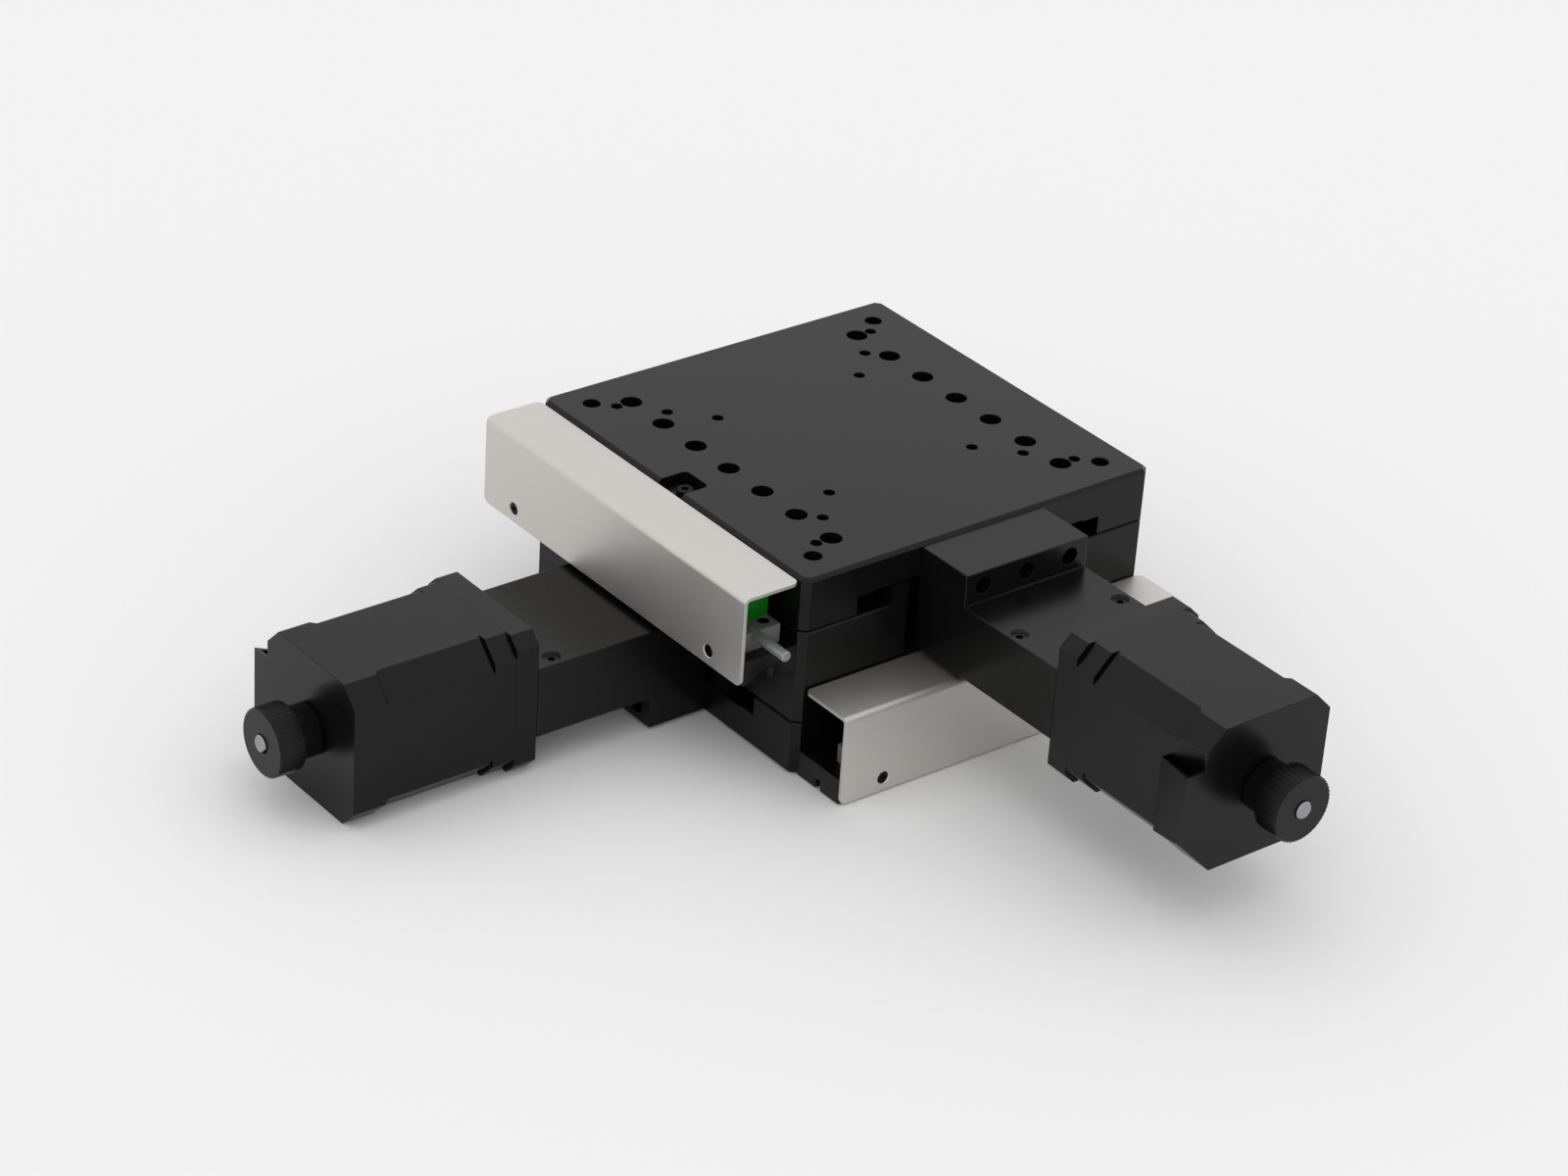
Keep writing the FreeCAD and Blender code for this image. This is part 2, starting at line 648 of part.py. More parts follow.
def lock_nut():
    start = Vector(0, -BEARING_END - AXIAL_PLAY - LOCK_NUT_WIDTH, SCREW_HEIGHT)
    nut = peg(LOCK_NUT_DIAMETER, start, Y_DIR, LOCK_NUT_WIDTH, SHANK_SIDES)
    return nut.cut(hole(JOURNAL_DIAMETER, start, Y_DIR, LOCK_NUT_WIDTH, SCREW_SIDES))


def coupling():
    """Slit coupling: one bored cylinder with crossed slits that let it flex."""
    start = Vector(0, -COUPLING_START - COUPLING_LENGTH, SCREW_HEIGHT)
    body = peg(COUPLING_DIAMETER, start, Y_DIR, COUPLING_LENGTH, INNER_SIDES)
    body = body.cut(hole(JOURNAL_DIAMETER, start, Y_DIR, COUPLING_LENGTH, SCREW_SIDES))
    centre_y = -COUPLING_START - COUPLING_LENGTH / 2
    reach = COUPLING_DIAMETER / 2 + OVERRUN
    spine = JOURNAL_DIAMETER / 2 + COUPLING_SPINE
    for side in (-1, 1):
        y0 = centre_y + side * COUPLING_SLIT_OFFSET - COUPLING_SLIT / 2
        z0, z1 = sorted((SCREW_HEIGHT - side * spine, SCREW_HEIGHT + side * reach))
        body = body.cut(box(-reach, reach, y0, y0 + COUPLING_SLIT, z0, z1))
    return body


def motor_bracket():
    """One machined piece: a tall flange on the plate's end face, and a lower housing round the coupling."""
    half = BRACKET_WIDTH / 2
    flange = box(-half, half, -FLANGE_FACE, -HALF, BRACKET_BOTTOM, FLANGE_TOP)
    housing = box(-half, half, -BRACKET_END, -FLANGE_FACE, BRACKET_BOTTOM, HOUSING_TOP)
    bracket = flange.fuse(housing).removeSplitter()
    bracket = chamfer_edges(bracket, EDGE_CHAMFER, edge_at_height(FLANGE_TOP))
    z = SCREW_HEIGHT
    cap_bore = CAP_DIAMETER + 2 * SCREW_PLAY
    cutters = [hole(cap_bore, Vector(0, -BEARING_START, z), Y_DIR, BEARING_START, INNER_SIDES)]
    cutters.append(hole(BEARING_OUTER, Vector(0, -BEARING_END, z), Y_DIR, BEARING_END - HALF, INNER_SIDES))
    cutters.append(hole(SHOULDER_BORE, Vector(0, -FLANGE_FACE, z), Y_DIR, FLANGE_THICK, INNER_SIDES))
    coupling_room = BRACKET_END - FLANGE_FACE
    cutters.append(hole(COUPLING_BORE, Vector(0, -BRACKET_END, z), Y_DIR, coupling_room, INNER_SIDES))
    for x in screw_row(3, FLANGE_SCREW_PITCH):
        mouth = Vector(x, -FLANGE_FACE, FLANGE_SCREW_HEIGHT)
        cutters.append(head_hole(M25_COUNTERBORE, mouth, Y_DIR, FLANGE_COUNTERBORE_DEPTH))
        cutters.append(shank_hole(M25_SHANK, mouth, Y_DIR, FLANGE_THICK))
    for seat, direction in housing_screw_seats():
        cutters.append(head_hole(M25_COUNTERBORE, seat, direction * -1, HALF))
        cutters.append(shank_hole(M25_SHANK, seat, direction, HOUSING_SCREW_LENGTH))
    return bracket.cut(cutters)


def housing_screw_seats():
    """Seats and directions of the two screws in the housing's top and the two in its underside."""
    drop = HOUSING_SCREW_RECESS + M25_HEAD_HEIGHT
    top = [(Vector(x, -TOP_SCREW_Y, HOUSING_TOP - drop), Z_DIR * -1) for x in (-TOP_SCREW_X, TOP_SCREW_X)]
    z = BRACKET_BOTTOM + drop
    low = [(Vector(x, -BOTTOM_SCREW_Y, z), Z_DIR) for x in (-BOTTOM_SCREW_X, BOTTOM_SCREW_X)]
    return top + low


def bracket_screws():
    screws = []
    for x in screw_row(3, FLANGE_SCREW_PITCH):
        seat = Vector(x, -FLANGE_FACE + FLANGE_COUNTERBORE_DEPTH, FLANGE_SCREW_HEIGHT)
        screws.append(m25(seat, Y_DIR, FLANGE_SCREW_LENGTH))
    for seat, direction in housing_screw_seats():
        screws.append(m25(seat, direction, HOUSING_SCREW_LENGTH))
    return screws


# Motor

def octagon(y, side, chamfer):
    """Square outline with cut corners, across the motor's axis."""
    half = side / 2
    inner = half - chamfer
    outline = [(inner, half), (half, inner), (half, -inner), (inner, -half)]
    outline += [(-inner, -half), (-half, -inner), (-half, inner), (-inner, half)]
    points = [Vector(x, y, SCREW_HEIGHT + z) for x, z in outline]
    return Part.makePolygon(points + points[:1])


def prism(start, end, chamfer):
    return Part.Face(octagon(-end, MOTOR_SIDE, chamfer)).extrude(Y_DIR * (end - start))


def tapered(start, end, chamfer_start, chamfer_end):
    wires = [octagon(-start, MOTOR_SIDE, chamfer_start), octagon(-end, MOTOR_SIDE, chamfer_end)]
    return Part.makeLoft(wires, True, True)


def motor_screw_places():
    half = MOTOR_SCREW_PITCH / 2
    return [(x, SCREW_HEIGHT + z) for x in (-half, half) for z in (-half, half)]


def motor_plate():
    """Adapter plate between the housing and the motor, with the pilot bore and counterbored screw holes."""
    plate = prism(BRACKET_END, FRONT_CAP_START, MOTOR_PLATE_CHAMFER)
    start = Vector(0, -FRONT_CAP_START, SCREW_HEIGHT)
    cutters = [hole(PILOT_DIAMETER + 2 * SCREW_PLAY, start, Y_DIR, MOTOR_PLATE_THICK, INNER_SIDES)]
    for x, z in motor_screw_places():
        seat_y = -BRACKET_END - M3_HEAD_HEIGHT - HOUSING_SCREW_RECESS
        cutters.append(head_hole(M3_COUNTERBORE, Vector(x, seat_y, z), Y_DIR, MOTOR_PLATE_THICK))
        cutters.append(shank_hole(M3_SHANK, Vector(x, -FRONT_CAP_START, z), Y_DIR, MOTOR_PLATE_THICK))
    return plate.cut(cutters)


def motor_screws():
    seat_y = -BRACKET_END - M3_HEAD_HEIGHT - HOUSING_SCREW_RECESS
    screws = [m3(Vector(x, seat_y, z), Y_DIR * -1, MOTOR_SCREW_LENGTH) for x, z in motor_screw_places()]
    return Part.makeCompound(screws)


def motor_front_cap():
    """Front end cap, with a slit at its corners behind the motor plate and the pilot that centres it."""
    slit_end = FRONT_CAP_START + FRONT_SLIT_WIDTH
    cap = prism(FRONT_CAP_START, slit_end, END_CAP_CHAMFER + FRONT_SLIT_DEPTH)
    cap = cap.fuse(prism(slit_end, STATOR_START, END_CAP_CHAMFER))
    pilot_length = PILOT_HEIGHT + FRONT_SLIT_WIDTH
    cap = cap.fuse(peg(PILOT_DIAMETER, Vector(0, -slit_end, SCREW_HEIGHT), Y_DIR, pilot_length, INNER_SIDES))
    bore = SHAFT_DIAMETER + 2 * SHAFT_PLAY
    bore_length = FRONT_CAP_LENGTH + PILOT_HEIGHT
    cutters = [hole(bore, Vector(0, -STATOR_START, SCREW_HEIGHT), Y_DIR, bore_length, INNER_SIDES)]
    depth = MOTOR_SCREW_LENGTH - (MOTOR_PLATE_THICK - M3_HEAD_HEIGHT - HOUSING_SCREW_RECESS)
    for x, z in motor_screw_places():
        cutters.append(shank_hole(M3_SHANK, Vector(x, -FRONT_CAP_START, z), Y_DIR * -1, depth))
    return cap.cut(cutters)


def connector_recess():
    """Flat recess in the motor's side behind the connector's hood, that widens upwards to the rear."""
    side = -MOTOR_SIDE / 2
    front = MOTOR_END - CONNECTOR_LENGTH
    rear = MOTOR_END - CONNECTOR_WALL
    slope_end = front + CONNECTOR_SLOPE_LENGTH
    outline = [(-front, CONNECTOR_FRONT_TOP), (-slope_end, CONNECTOR_RECESS_TOP)]
    outline += [(-rear, CONNECTOR_RECESS_TOP), (-rear, CONNECTOR_FLOOR), (-front, CONNECTOR_FLOOR)]
    points = [Vector(side - OVERRUN, y, SCREW_HEIGHT + z) for y, z in outline]
    depth = OVERRUN + CONNECTOR_RECESS_DEPTH
    return Part.Face(Part.makePolygon(points + points[:1])).extrude(X_DIR * depth)


def motor_stator():
    slit_end = STATOR_START + STATOR_SLIT_WIDTH
    body = prism(STATOR_START, slit_end, STATOR_CHAMFER + STATOR_SLIT_DEPTH)
    body = body.fuse(prism(slit_end, STATOR_END, STATOR_CHAMFER))
    start = Vector(0, -STATOR_END, SCREW_HEIGHT)
    bore = hole(ROTOR_DIAMETER + 2 * ROTOR_AIR_GAP, start, Y_DIR, STATOR_LENGTH, INNER_SIDES)
    return body.cut([bore, connector_recess()])


def connector_hood():
    """Wedge-shaped hood on the motor's side, open at its sloping top, for the motor lead's plug."""
    side = -MOTOR_SIDE / 2
    front = MOTOR_END - CONNECTOR_LENGTH
    low = SCREW_HEIGHT - MOTOR_SIDE / 2 + END_CAP_CHAMFER
    front_top = SCREW_HEIGHT + CONNECTOR_FRONT_TOP
    rear_top = SCREW_HEIGHT + CONNECTOR_REAR_TOP
    outline = [Vector(side, -front, low), Vector(side, -front, front_top)]
    outline += [Vector(side, -MOTOR_END, rear_top), Vector(side, -MOTOR_END, low)]
    hood = Part.Face(Part.makePolygon(outline + outline[:1])).extrude(X_DIR * -CONNECTOR_REACH)
    far = side - CONNECTOR_REACH
    slant = [Vector(side, -front, 0), Vector(far, -front, 0), Vector(far, -MOTOR_END, 0)]
    hood = hood.cut(Part.Face(Part.makePolygon(slant + slant[:1])).extrude(Z_DIR * TOTAL_HEIGHT))
    under = [Vector(side, -front, low), Vector(far, -front, low), Vector(far, -front, low + CONNECTOR_REACH)]
    hood = hood.cut(Part.Face(Part.makePolygon(under + under[:1])).extrude(Y_DIR * -CONNECTOR_LENGTH))
    slope = CONNECTOR_REACH / CONNECTOR_LENGTH
    wall_end = -MOTOR_END + CONNECTOR_WALL
    inside_front = -front - CONNECTOR_WALL / slope
    inside_reach = slope * (inside_front - wall_end)
    floor = SCREW_HEIGHT + CONNECTOR_FLOOR
    inside = [Vector(side, inside_front, floor), Vector(side - inside_reach, wall_end, floor)]
    inside += [Vector(side, wall_end, floor)]
    return hood.cut(Part.Face(Part.makePolygon(inside + inside[:1])).extrude(Z_DIR * MOTOR_SIDE))


def motor_rear_cap():
    wedge_end = STATOR_END + REAR_WEDGE
    cap = tapered(STATOR_END, wedge_end, STATOR_CHAMFER, END_CAP_CHAMFER)
    cap = cap.fuse(prism(wedge_end, MOTOR_END, END_CAP_CHAMFER)).removeSplitter()
    cap = cap.cut(connector_recess())
    cap = cap.fuse(connector_hood())
    start = Vector(0, -MOTOR_END, SCREW_HEIGHT)
    return cap.cut(hole(SHAFT_DIAMETER + 2 * SHAFT_PLAY, start, Y_DIR, REAR_CAP_LENGTH, INNER_SIDES))


def motor_rotor():
    """Shaft with the rotor's core on it, and a flat for the knob at the rear end."""
    front = FRONT_CAP_START - SHAFT_FRONT_REACH
    rear = MOTOR_END + SHAFT_REAR_REACH
    shaft = rod(SHAFT_DIAMETER, Vector(0, -rear, SCREW_HEIGHT), Y_DIR, rear - front)
    flat_z = SCREW_HEIGHT + SHAFT_DIAMETER / 2 - SHAFT_FLAT
    flat = box(-HALF, HALF, -rear, -rear + SHAFT_FLAT_LENGTH, flat_z, TOTAL_HEIGHT)
    flat.rotate(Vector(0, 0, SCREW_HEIGHT), Y_DIR, SHAFT_FLAT_ANGLE)
    core_end = STATOR_END - (STATOR_LENGTH - ROTOR_LENGTH) / 2
    core = peg(ROTOR_DIAMETER, Vector(0, -core_end, SCREW_HEIGHT), Y_DIR, ROTOR_LENGTH, INNER_SIDES)
    return shaft.cut(flat).fuse(core)


def knurled_outline(y):
    """Straight-knurled circle: a ring of small teeth."""
    points = []
    for index in range(2 * KNOB_TEETH):
        radius = KNOB_DIAMETER / 2 - (KNOB_TOOTH_DEPTH if index % 2 else 0)
        angle = math.pi * index / KNOB_TEETH
        points.append(Vector(radius * math.cos(angle), y, SCREW_HEIGHT + radius * math.sin(angle)))
    return Part.makePolygon(points + points[:1])


def knob():
    """Hand knob for turning the screw: a smooth hub and a knurled rim, bored for the shaft's flat."""
    hub_start = MOTOR_END + KNOB_GAP
    rim_start = hub_start + KNOB_HUB_LENGTH
    rim_end = rim_start + KNOB_KNURL_LENGTH
    rim = Part.Face(knurled_outline(-rim_end)).extrude(Y_DIR * KNOB_KNURL_LENGTH)
    hub = peg(KNOB_HUB_DIAMETER, Vector(0, -rim_start, SCREW_HEIGHT), Y_DIR, KNOB_HUB_LENGTH, KNOB_TEETH)
    bore = hole(SHAFT_DIAMETER, Vector(0, -rim_end, SCREW_HEIGHT), Y_DIR, rim_end - hub_start, INNER_SIDES)
    return rim.fuse(hub).cut(bore)


# Sensors and covers, modelled on the lower axis: X along the stage, -Y outwards

def bar_screw_seats():
    """Seats of the bar's screws: one near each end and one in the middle."""
    reach = (BAR_REAR - BAR_FRONT) / 2 - BAR_SCREW_INSET
    y = -HALF - BAR_DEPTH + M3_HEAD_HEIGHT + BAR_SCREW_RECESS
    z = BAR_BASE + BAR_HEIGHT / 2
    return [Vector(BAR_CENTRE + side * reach, y, z) for side in (-1, 0, 1)]


def bar_taps():
    """Tapped holes for the bar's screws, in the side that the bar is screwed to."""
    return [shank_hole(M3_SHANK, Vector(seat.x, -HALF, seat.z), Y_DIR, BAR_SCREW_LENGTH + seat.y + HALF)
            for seat in bar_screw_seats()]


def bar_screws():
    return Part.makeCompound([m3(seat, Y_DIR, BAR_SCREW_LENGTH) for seat in bar_screw_seats()])


def cover_screw_places():
    """Points on the cover's outer face."""
    y = -HALF - COVER_REACH
    ends = (BAR_FRONT + COVER_SCREW_INSET, BAR_REAR - COVER_SCREW_INSET)
    return [Vector(x, y, COVER_SCREW_HEIGHT) for x in ends]


def sensor_bar():
    """Long bar on the stage's side, with a small notch in the underside of each end."""
    y_out = -HALF - BAR_DEPTH
    bar = box(BAR_FRONT, BAR_REAR, y_out, -HALF, BAR_BASE, BAR_TOP)
    cutters = []
    for seat in bar_screw_seats():
        cutters.append(shank_hole(M3_SHANK, seat, Y_DIR, BAR_DEPTH))
        cutters.append(head_hole(M3_COUNTERBORE, seat, Y_DIR * -1, BAR_DEPTH))
    for place in cover_screw_places():
        start = Vector(place.x, y_out, place.z)
        cutters.append(shank_hole(COVER_SCREW_SHANK, start, Y_DIR, COVER_SCREW_LENGTH))
    y0 = -HALF - BAR_NOTCH_OUT - BAR_NOTCH_WIDTH / 2
    for x0 in (BAR_FRONT, BAR_REAR - BAR_NOTCH_LENGTH):
        x1 = x0 + BAR_NOTCH_LENGTH
        cutters.append(box(x0, x1, y0, y0 + BAR_NOTCH_WIDTH, BAR_BASE, BAR_BASE + BAR_NOTCH_HEIGHT))
    return bar.cut(cutters)


def sensor_posts(inset, length, out, depth):
    """Two blocks on the bar, each with a tapped hole from the top: the rear one carries the board."""
    y1 = -HALF - out
    posts = []
    for x0 in (BAR_FRONT + inset, BAR_REAR - inset - length):
        post = box(x0, x0 + length, y1 - depth, y1, BAR_TOP, BOARD_BASE)
        centre = Vector(x0 + POST_HOLE_SETBACK, y1 - POST_HOLE_SIDE, BAR_TOP)
        posts.append(post.cut(hole(POST_HOLE, centre, Z_DIR, POST_HEIGHT, SCREW_SIDES)))
    return Part.makeCompound(posts)


def sensor_boards(inset, length, out, depth):
    """The sensors' board, and a short board upright against the front post that it is soldered to."""
    x0 = BAR_FRONT + inset + length
    x1 = x0 + BOARD_THICK
    y1 = -HALF - out
    upright = box(x0, x1, y1 - depth, y1, BAR_TOP, BAR_TOP + UPRIGHT_BOARD_HEIGHT)
    y2 = -HALF - BOARD_OUT
    flat = box(x1, BAR_REAR - inset - length / 2, y2 - BOARD_DEPTH, y2, BOARD_BASE, BOARD_TOP)
    return Part.makeCompound([upright, flat])


def limit_sensors():
    """Three slotted light barriers on the board: one at each limit and one at the origin."""
    y_mid = -HALF - SENSOR_CENTRE
    half = SENSOR_DEPTH / 2
    sensors = []
    for offset in (-SENSOR_SPREAD, 0, SENSOR_SPREAD):
        x0 = FLAG_CENTRE + offset - SENSOR_LENGTH / 2
        x1 = x0 + SENSOR_LENGTH
        body = box(x0, x1, y_mid - half, y_mid + half, BOARD_TOP, BOARD_TOP + SENSOR_HEIGHT)
        y0 = y_mid - SENSOR_SLOT / 2
        slot = box(x0, x1, y0, y0 + SENSOR_SLOT, BOARD_TOP + SENSOR_BASE, BOARD_TOP + SENSOR_HEIGHT)
        sensors.append(body.cut(slot))
    return Part.makeCompound(sensors)


def sensor_cover():
    """Bent sheet cover, open at both ends: an outer wall and a top, with a round bend and round corners."""
    y_out = -HALF - COVER_REACH
    y_in = -HALF - COVER_STAGE_GAP
    outside = box(BAR_FRONT, BAR_REAR, y_out, y_in, COVER_BOTTOM, COVER_TOP)
    bend = [edge for edge in outside.Edges
            if edge.BoundBox.XLength > HALF and abs(edge.BoundBox.YMin - y_out) < SAME
            and abs(edge.BoundBox.ZMin - COVER_TOP) < SAME]
    outside = outside.makeFillet(COVER_BEND, bend)
    low = COVER_BOTTOM - OVERRUN
    roof = COVER_TOP - COVER_SHEET
    inside = box(BAR_FRONT, BAR_REAR, y_out + COVER_SHEET, y_in + OVERRUN, low, roof)
    fold = [edge for edge in inside.Edges
            if edge.BoundBox.XLength > HALF and abs(edge.BoundBox.YMin - y_out - COVER_SHEET) < SAME
            and abs(edge.BoundBox.ZMin - roof) < SAME]
    inside = inside.makeFillet(COVER_BEND - COVER_SHEET, fold)
    cover = outside.cut(inside)
    corners = [edge for edge in cover.Edges
               if abs(edge.Length - COVER_SHEET) < SAME
               and (abs(edge.BoundBox.ZMin - COVER_BOTTOM) < SAME or abs(edge.BoundBox.YMax - y_in) < SAME)]
    cover = cover.makeFillet(COVER_CORNER, corners)
    wide = 1 / math.cos(math.pi / SCREW_SIDES)
    return cover.cut([countersink(place, wide, 0) for place in cover_screw_places()])


def countersink(place, wide, play):
    """Countersunk head through the cover's sheet, or its seat where the flats lie on the real cone."""
    head = (COVER_SCREW_HEAD / 2 - play) * wide
    neck = (COVER_SCREW_SHANK / 2 - play) * wide
    return cone(head, neck, place, Y_DIR, COVER_SHEET)


def cover_screws():
    """Countersunk screws through the cover into the bar, flush with the sheet."""
    shank = COVER_SCREW_SHANK - 2 * SCREW_PLAY
    return Part.makeCompound([
        countersink(place, 1, SCREW_PLAY).fuse(peg(shank, place, Y_DIR, COVER_SCREW_LENGTH, SCREW_SIDES))
        for place in cover_screw_places()])


def rod_start():
    """Centre of the rod's outer end, past the cover's open front end."""
    return Vector(BAR_FRONT - ROD_PROUD, -HALF - ROD_OUT, BAR_TOP + ROD_RISE)


def sensor_rod():
    """Round steel rod in an open groove of the upper front post."""
    return rod(ROD_DIAMETER, rod_start(), X_DIR, ROD_LENGTH)


def side_flag_screw():
    """Seat and direction of the screw that holds the lower flag to the middle block's side."""
    return Vector(FLAG_CENTRE, -HALF - FLAG_SHEET, LOWER_FLAG_TOP - SIDE_TAB_HEIGHT / 2), Y_DIR


def flag_leg(top):
    """Outward arm and downward leg of a flag, whose top face is at the given height."""
    half = FLAG_WIDTH / 2
    y_leg = -HALF - SENSOR_CENTRE
    low = top - FLAG_DROP
    arm_y = y_leg - FLAG_SHEET / 2
    leg = box(FLAG_CENTRE - half, FLAG_CENTRE + half, arm_y, arm_y + FLAG_SHEET, low, top)
    arm = box(FLAG_CENTRE - half, FLAG_CENTRE + half, arm_y, -HALF, top - FLAG_SHEET, top)
    return leg.fuse(arm)


def lower_flag():
    """Bent sheet flag on the middle block's side, whose leg runs in the lower sensors' slots."""
    half = FLAG_WIDTH / 2
    top = LOWER_FLAG_TOP
    tab = box(FLAG_CENTRE - half, FLAG_CENTRE + half, -HALF - FLAG_SHEET, -HALF, top - SIDE_TAB_HEIGHT, top)
    seat, direction = side_flag_screw()
    drilled = shank_hole(M3_SHANK, seat, direction, FLAG_SHEET)
    return flag_leg(top).fuse(tab).removeSplitter().cut(drilled)


def upper_flag():
    """Bent sheet flag from the pocket in the table's edge, whose leg runs in the upper sensors' slots."""
    half = FLAG_WIDTH / 2
    top = LOWER_FLAG_TOP
    end = -HALF + FLAG_POCKET_LENGTH - FLAG_TAB_END
    tab = box(FLAG_CENTRE - half, FLAG_CENTRE + half, -HALF, end, top - FLAG_SHEET, top)
    place = Vector(FLAG_CENTRE, -HALF + FLAG_SCREW_INSET, top - FLAG_SHEET)
    flag = flag_leg(top).fuse(tab).removeSplitter().cut(shank_hole(M25_SHANK, place, Z_DIR, FLAG_SHEET))
    return moved_to_upper(flag)


def flag_screw():
    seat = Vector(-HALF + FLAG_SCREW_INSET, FLAG_CENTRE, FLAG_FLOOR + FLAG_SHEET)
    return m25(seat, Z_DIR * -1, FLAG_SCREW_LENGTH)


def rail_screws():
    """Screws of the outer rails, drawn down to the rails' backs."""
    return Part.makeCompound([m3(seat, Z_DIR * -1, seat.z - RAIL_TOP) for seat in rail_screw_seats()])


def both_axes(upper_solids):
    """Pieces of the middle block's own body for both axes, as one group."""
    return Part.makeCompound(upper_solids + [turned_over(solid) for solid in upper_solids])


def build():
    """Every node of the stage by its name."""
    upper = {
        "outer_rails": outer_rails(),
        "rail_screws": rail_screws(),
        "roller_cages": roller_cages(),
        "rollers": rollers(),
        "motor_bracket": motor_bracket(),
        "screw_bearings": screw_bearings(),
        "bearing_cap": bearing_cap(),
        "lead_screw": lead_screw(),
        "lock_nut": lock_nut(),
        "coupling": coupling(),
    }
    motor = {
        "motor_plate": motor_plate(),
        "motor_screws": motor_screws(),
        "motor_front_cap": motor_front_cap(),
        "motor_stator": motor_stator(),
        "motor_rear_cap": motor_rear_cap(),
        "motor_rotor": motor_rotor(),
        "knob": knob(),
    }
    sensors = {
        "sensor_bar": sensor_bar(),
        "bar_screws": bar_screws(),
        "limit_sensors": limit_sensors(),
        "sensor_cover": sensor_cover(),
        "cover_screws": cover_screws(),
    }
    nodes = {
        "base_plate": base_plate(),
        "middle_block": middle_block(),
        "table_plate": table_plate(),
        "block_rails": both_axes(inner_rails()),
        "drive_nuts": both_axes([drive_nut()]),
        "x_sensor_flag": lower_flag(),
        "y_sensor_flag": upper_flag(),
        "y_sensor_rod": moved_to_upper(sensor_rod()),
    }
    lower_post = (LOWER_POST_INSET, LOWER_POST_LENGTH, LOWER_POST_OUT, LOWER_POST_DEPTH)
    upper_post = (UPPER_POST_INSET, UPPER_POST_LENGTH, UPPER_POST_OUT, UPPER_POST_DEPTH)
    groove = hole(ROD_DIAMETER, rod_start(), X_DIR, ROD_LENGTH, INNER_SIDES)
    nodes["x_sensor_posts"] = sensor_posts(*lower_post)
    nodes["y_sensor_posts"] = moved_to_upper(sensor_posts(*upper_post).cut(groove))
    nodes["x_sensor_board"] = sensor_boards(*lower_post)
    nodes["y_sensor_board"] = moved_to_upper(sensor_boards(*upper_post))
    seat, direction = side_flag_screw()
    side_screw = m3(seat, direction, SIDE_SCREW_LENGTH)
    upper_nut_screws = nut_screws()
    lower_nut_screws = [turned_over(screw) for screw in upper_nut_screws]
    nodes["block_screws"] = Part.makeCompound(upper_nut_screws + lower_nut_screws + [side_screw])
    shared = bracket_screws()
    nodes["x_bracket_screws"] = Part.makeCompound([turned_over(screw) for screw in shared])
    nodes["y_bracket_screws"] = Part.makeCompound(shared + [flag_screw()])
    for name, shape in upper.items():
        nodes["y_" + name] = shape
        nodes["x_" + name] = turned_over(shape)
    for name, shape in motor.items():
        nodes["y_" + name] = shape
        nodes["x_" + name] = turned_motor(shape)
    for name, shape in sensors.items():
        nodes["x_" + name] = shape
        nodes["y_" + name] = moved_to_upper(shape)
    return nodes


os.makedirs("parts", exist_ok=True)
for node_name, node_shape in build().items():
    node_shape.exportStep("parts/" + node_name + ".step")
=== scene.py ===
"""Looks of the two-axis alignment stage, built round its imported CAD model."""

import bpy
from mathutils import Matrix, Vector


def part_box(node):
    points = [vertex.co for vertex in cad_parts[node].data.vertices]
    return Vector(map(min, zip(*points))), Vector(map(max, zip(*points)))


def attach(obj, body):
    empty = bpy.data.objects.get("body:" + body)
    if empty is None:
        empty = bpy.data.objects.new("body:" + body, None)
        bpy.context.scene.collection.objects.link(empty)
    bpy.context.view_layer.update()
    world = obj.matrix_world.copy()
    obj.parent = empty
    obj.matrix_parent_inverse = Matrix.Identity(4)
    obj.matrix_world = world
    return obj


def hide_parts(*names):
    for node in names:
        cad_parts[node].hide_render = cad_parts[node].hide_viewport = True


bl_info = {
    "name": "XY Alignment Stage",
    "version": (1, 0, 0),
    "blender": (4, 5, 0),
    "location": "View3D > Sidebar > Stage",
    "description": "Dresses a motorised two-axis stage with finished pieces, materials and a studio",
    "category": "Object",
}

import math

import bmesh
import bpy
from bpy.props import FloatProperty, FloatVectorProperty, IntProperty, PointerProperty
from mathutils import Matrix, Vector

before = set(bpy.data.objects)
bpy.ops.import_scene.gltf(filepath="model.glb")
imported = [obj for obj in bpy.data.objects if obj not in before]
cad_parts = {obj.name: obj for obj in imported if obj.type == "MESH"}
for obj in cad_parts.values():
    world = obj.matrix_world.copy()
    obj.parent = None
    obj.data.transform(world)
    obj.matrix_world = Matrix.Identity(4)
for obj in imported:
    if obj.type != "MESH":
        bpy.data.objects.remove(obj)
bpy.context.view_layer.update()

MM = 0.001
SMOOTH_ANGLE = math.radians(20)
# Cutters start this far outside the faces that they cut
PAST = 1 * MM
# Straight steps in a quarter of a round corner
ARC_STEPS = 8
# Sides of round forms
SMALL_SIDES = 24
HOLE_SIDES = 40
ROUND_SIDES = 48
BORE_SIDES = 64
KNOB_SIDES = 96
Y_DIR = Vector((0, 1, 0))
Z_DIR = Vector((0, 0, 1))

TABLE_LOW, TABLE_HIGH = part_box("table_plate")
BLOCK_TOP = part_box("middle_block")[1].z
RAIL_LOW, RAIL_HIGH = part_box("y_outer_rails")
BRACKET_LOW, BRACKET_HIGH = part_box("y_motor_bracket")
SCREW_LOW, SCREW_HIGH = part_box("y_lead_screw")
HALF = TABLE_HIGH.x
TOP = TABLE_HIGH.z
SCREW_Z = (SCREW_LOW.z + SCREW_HIGH.z) / 2

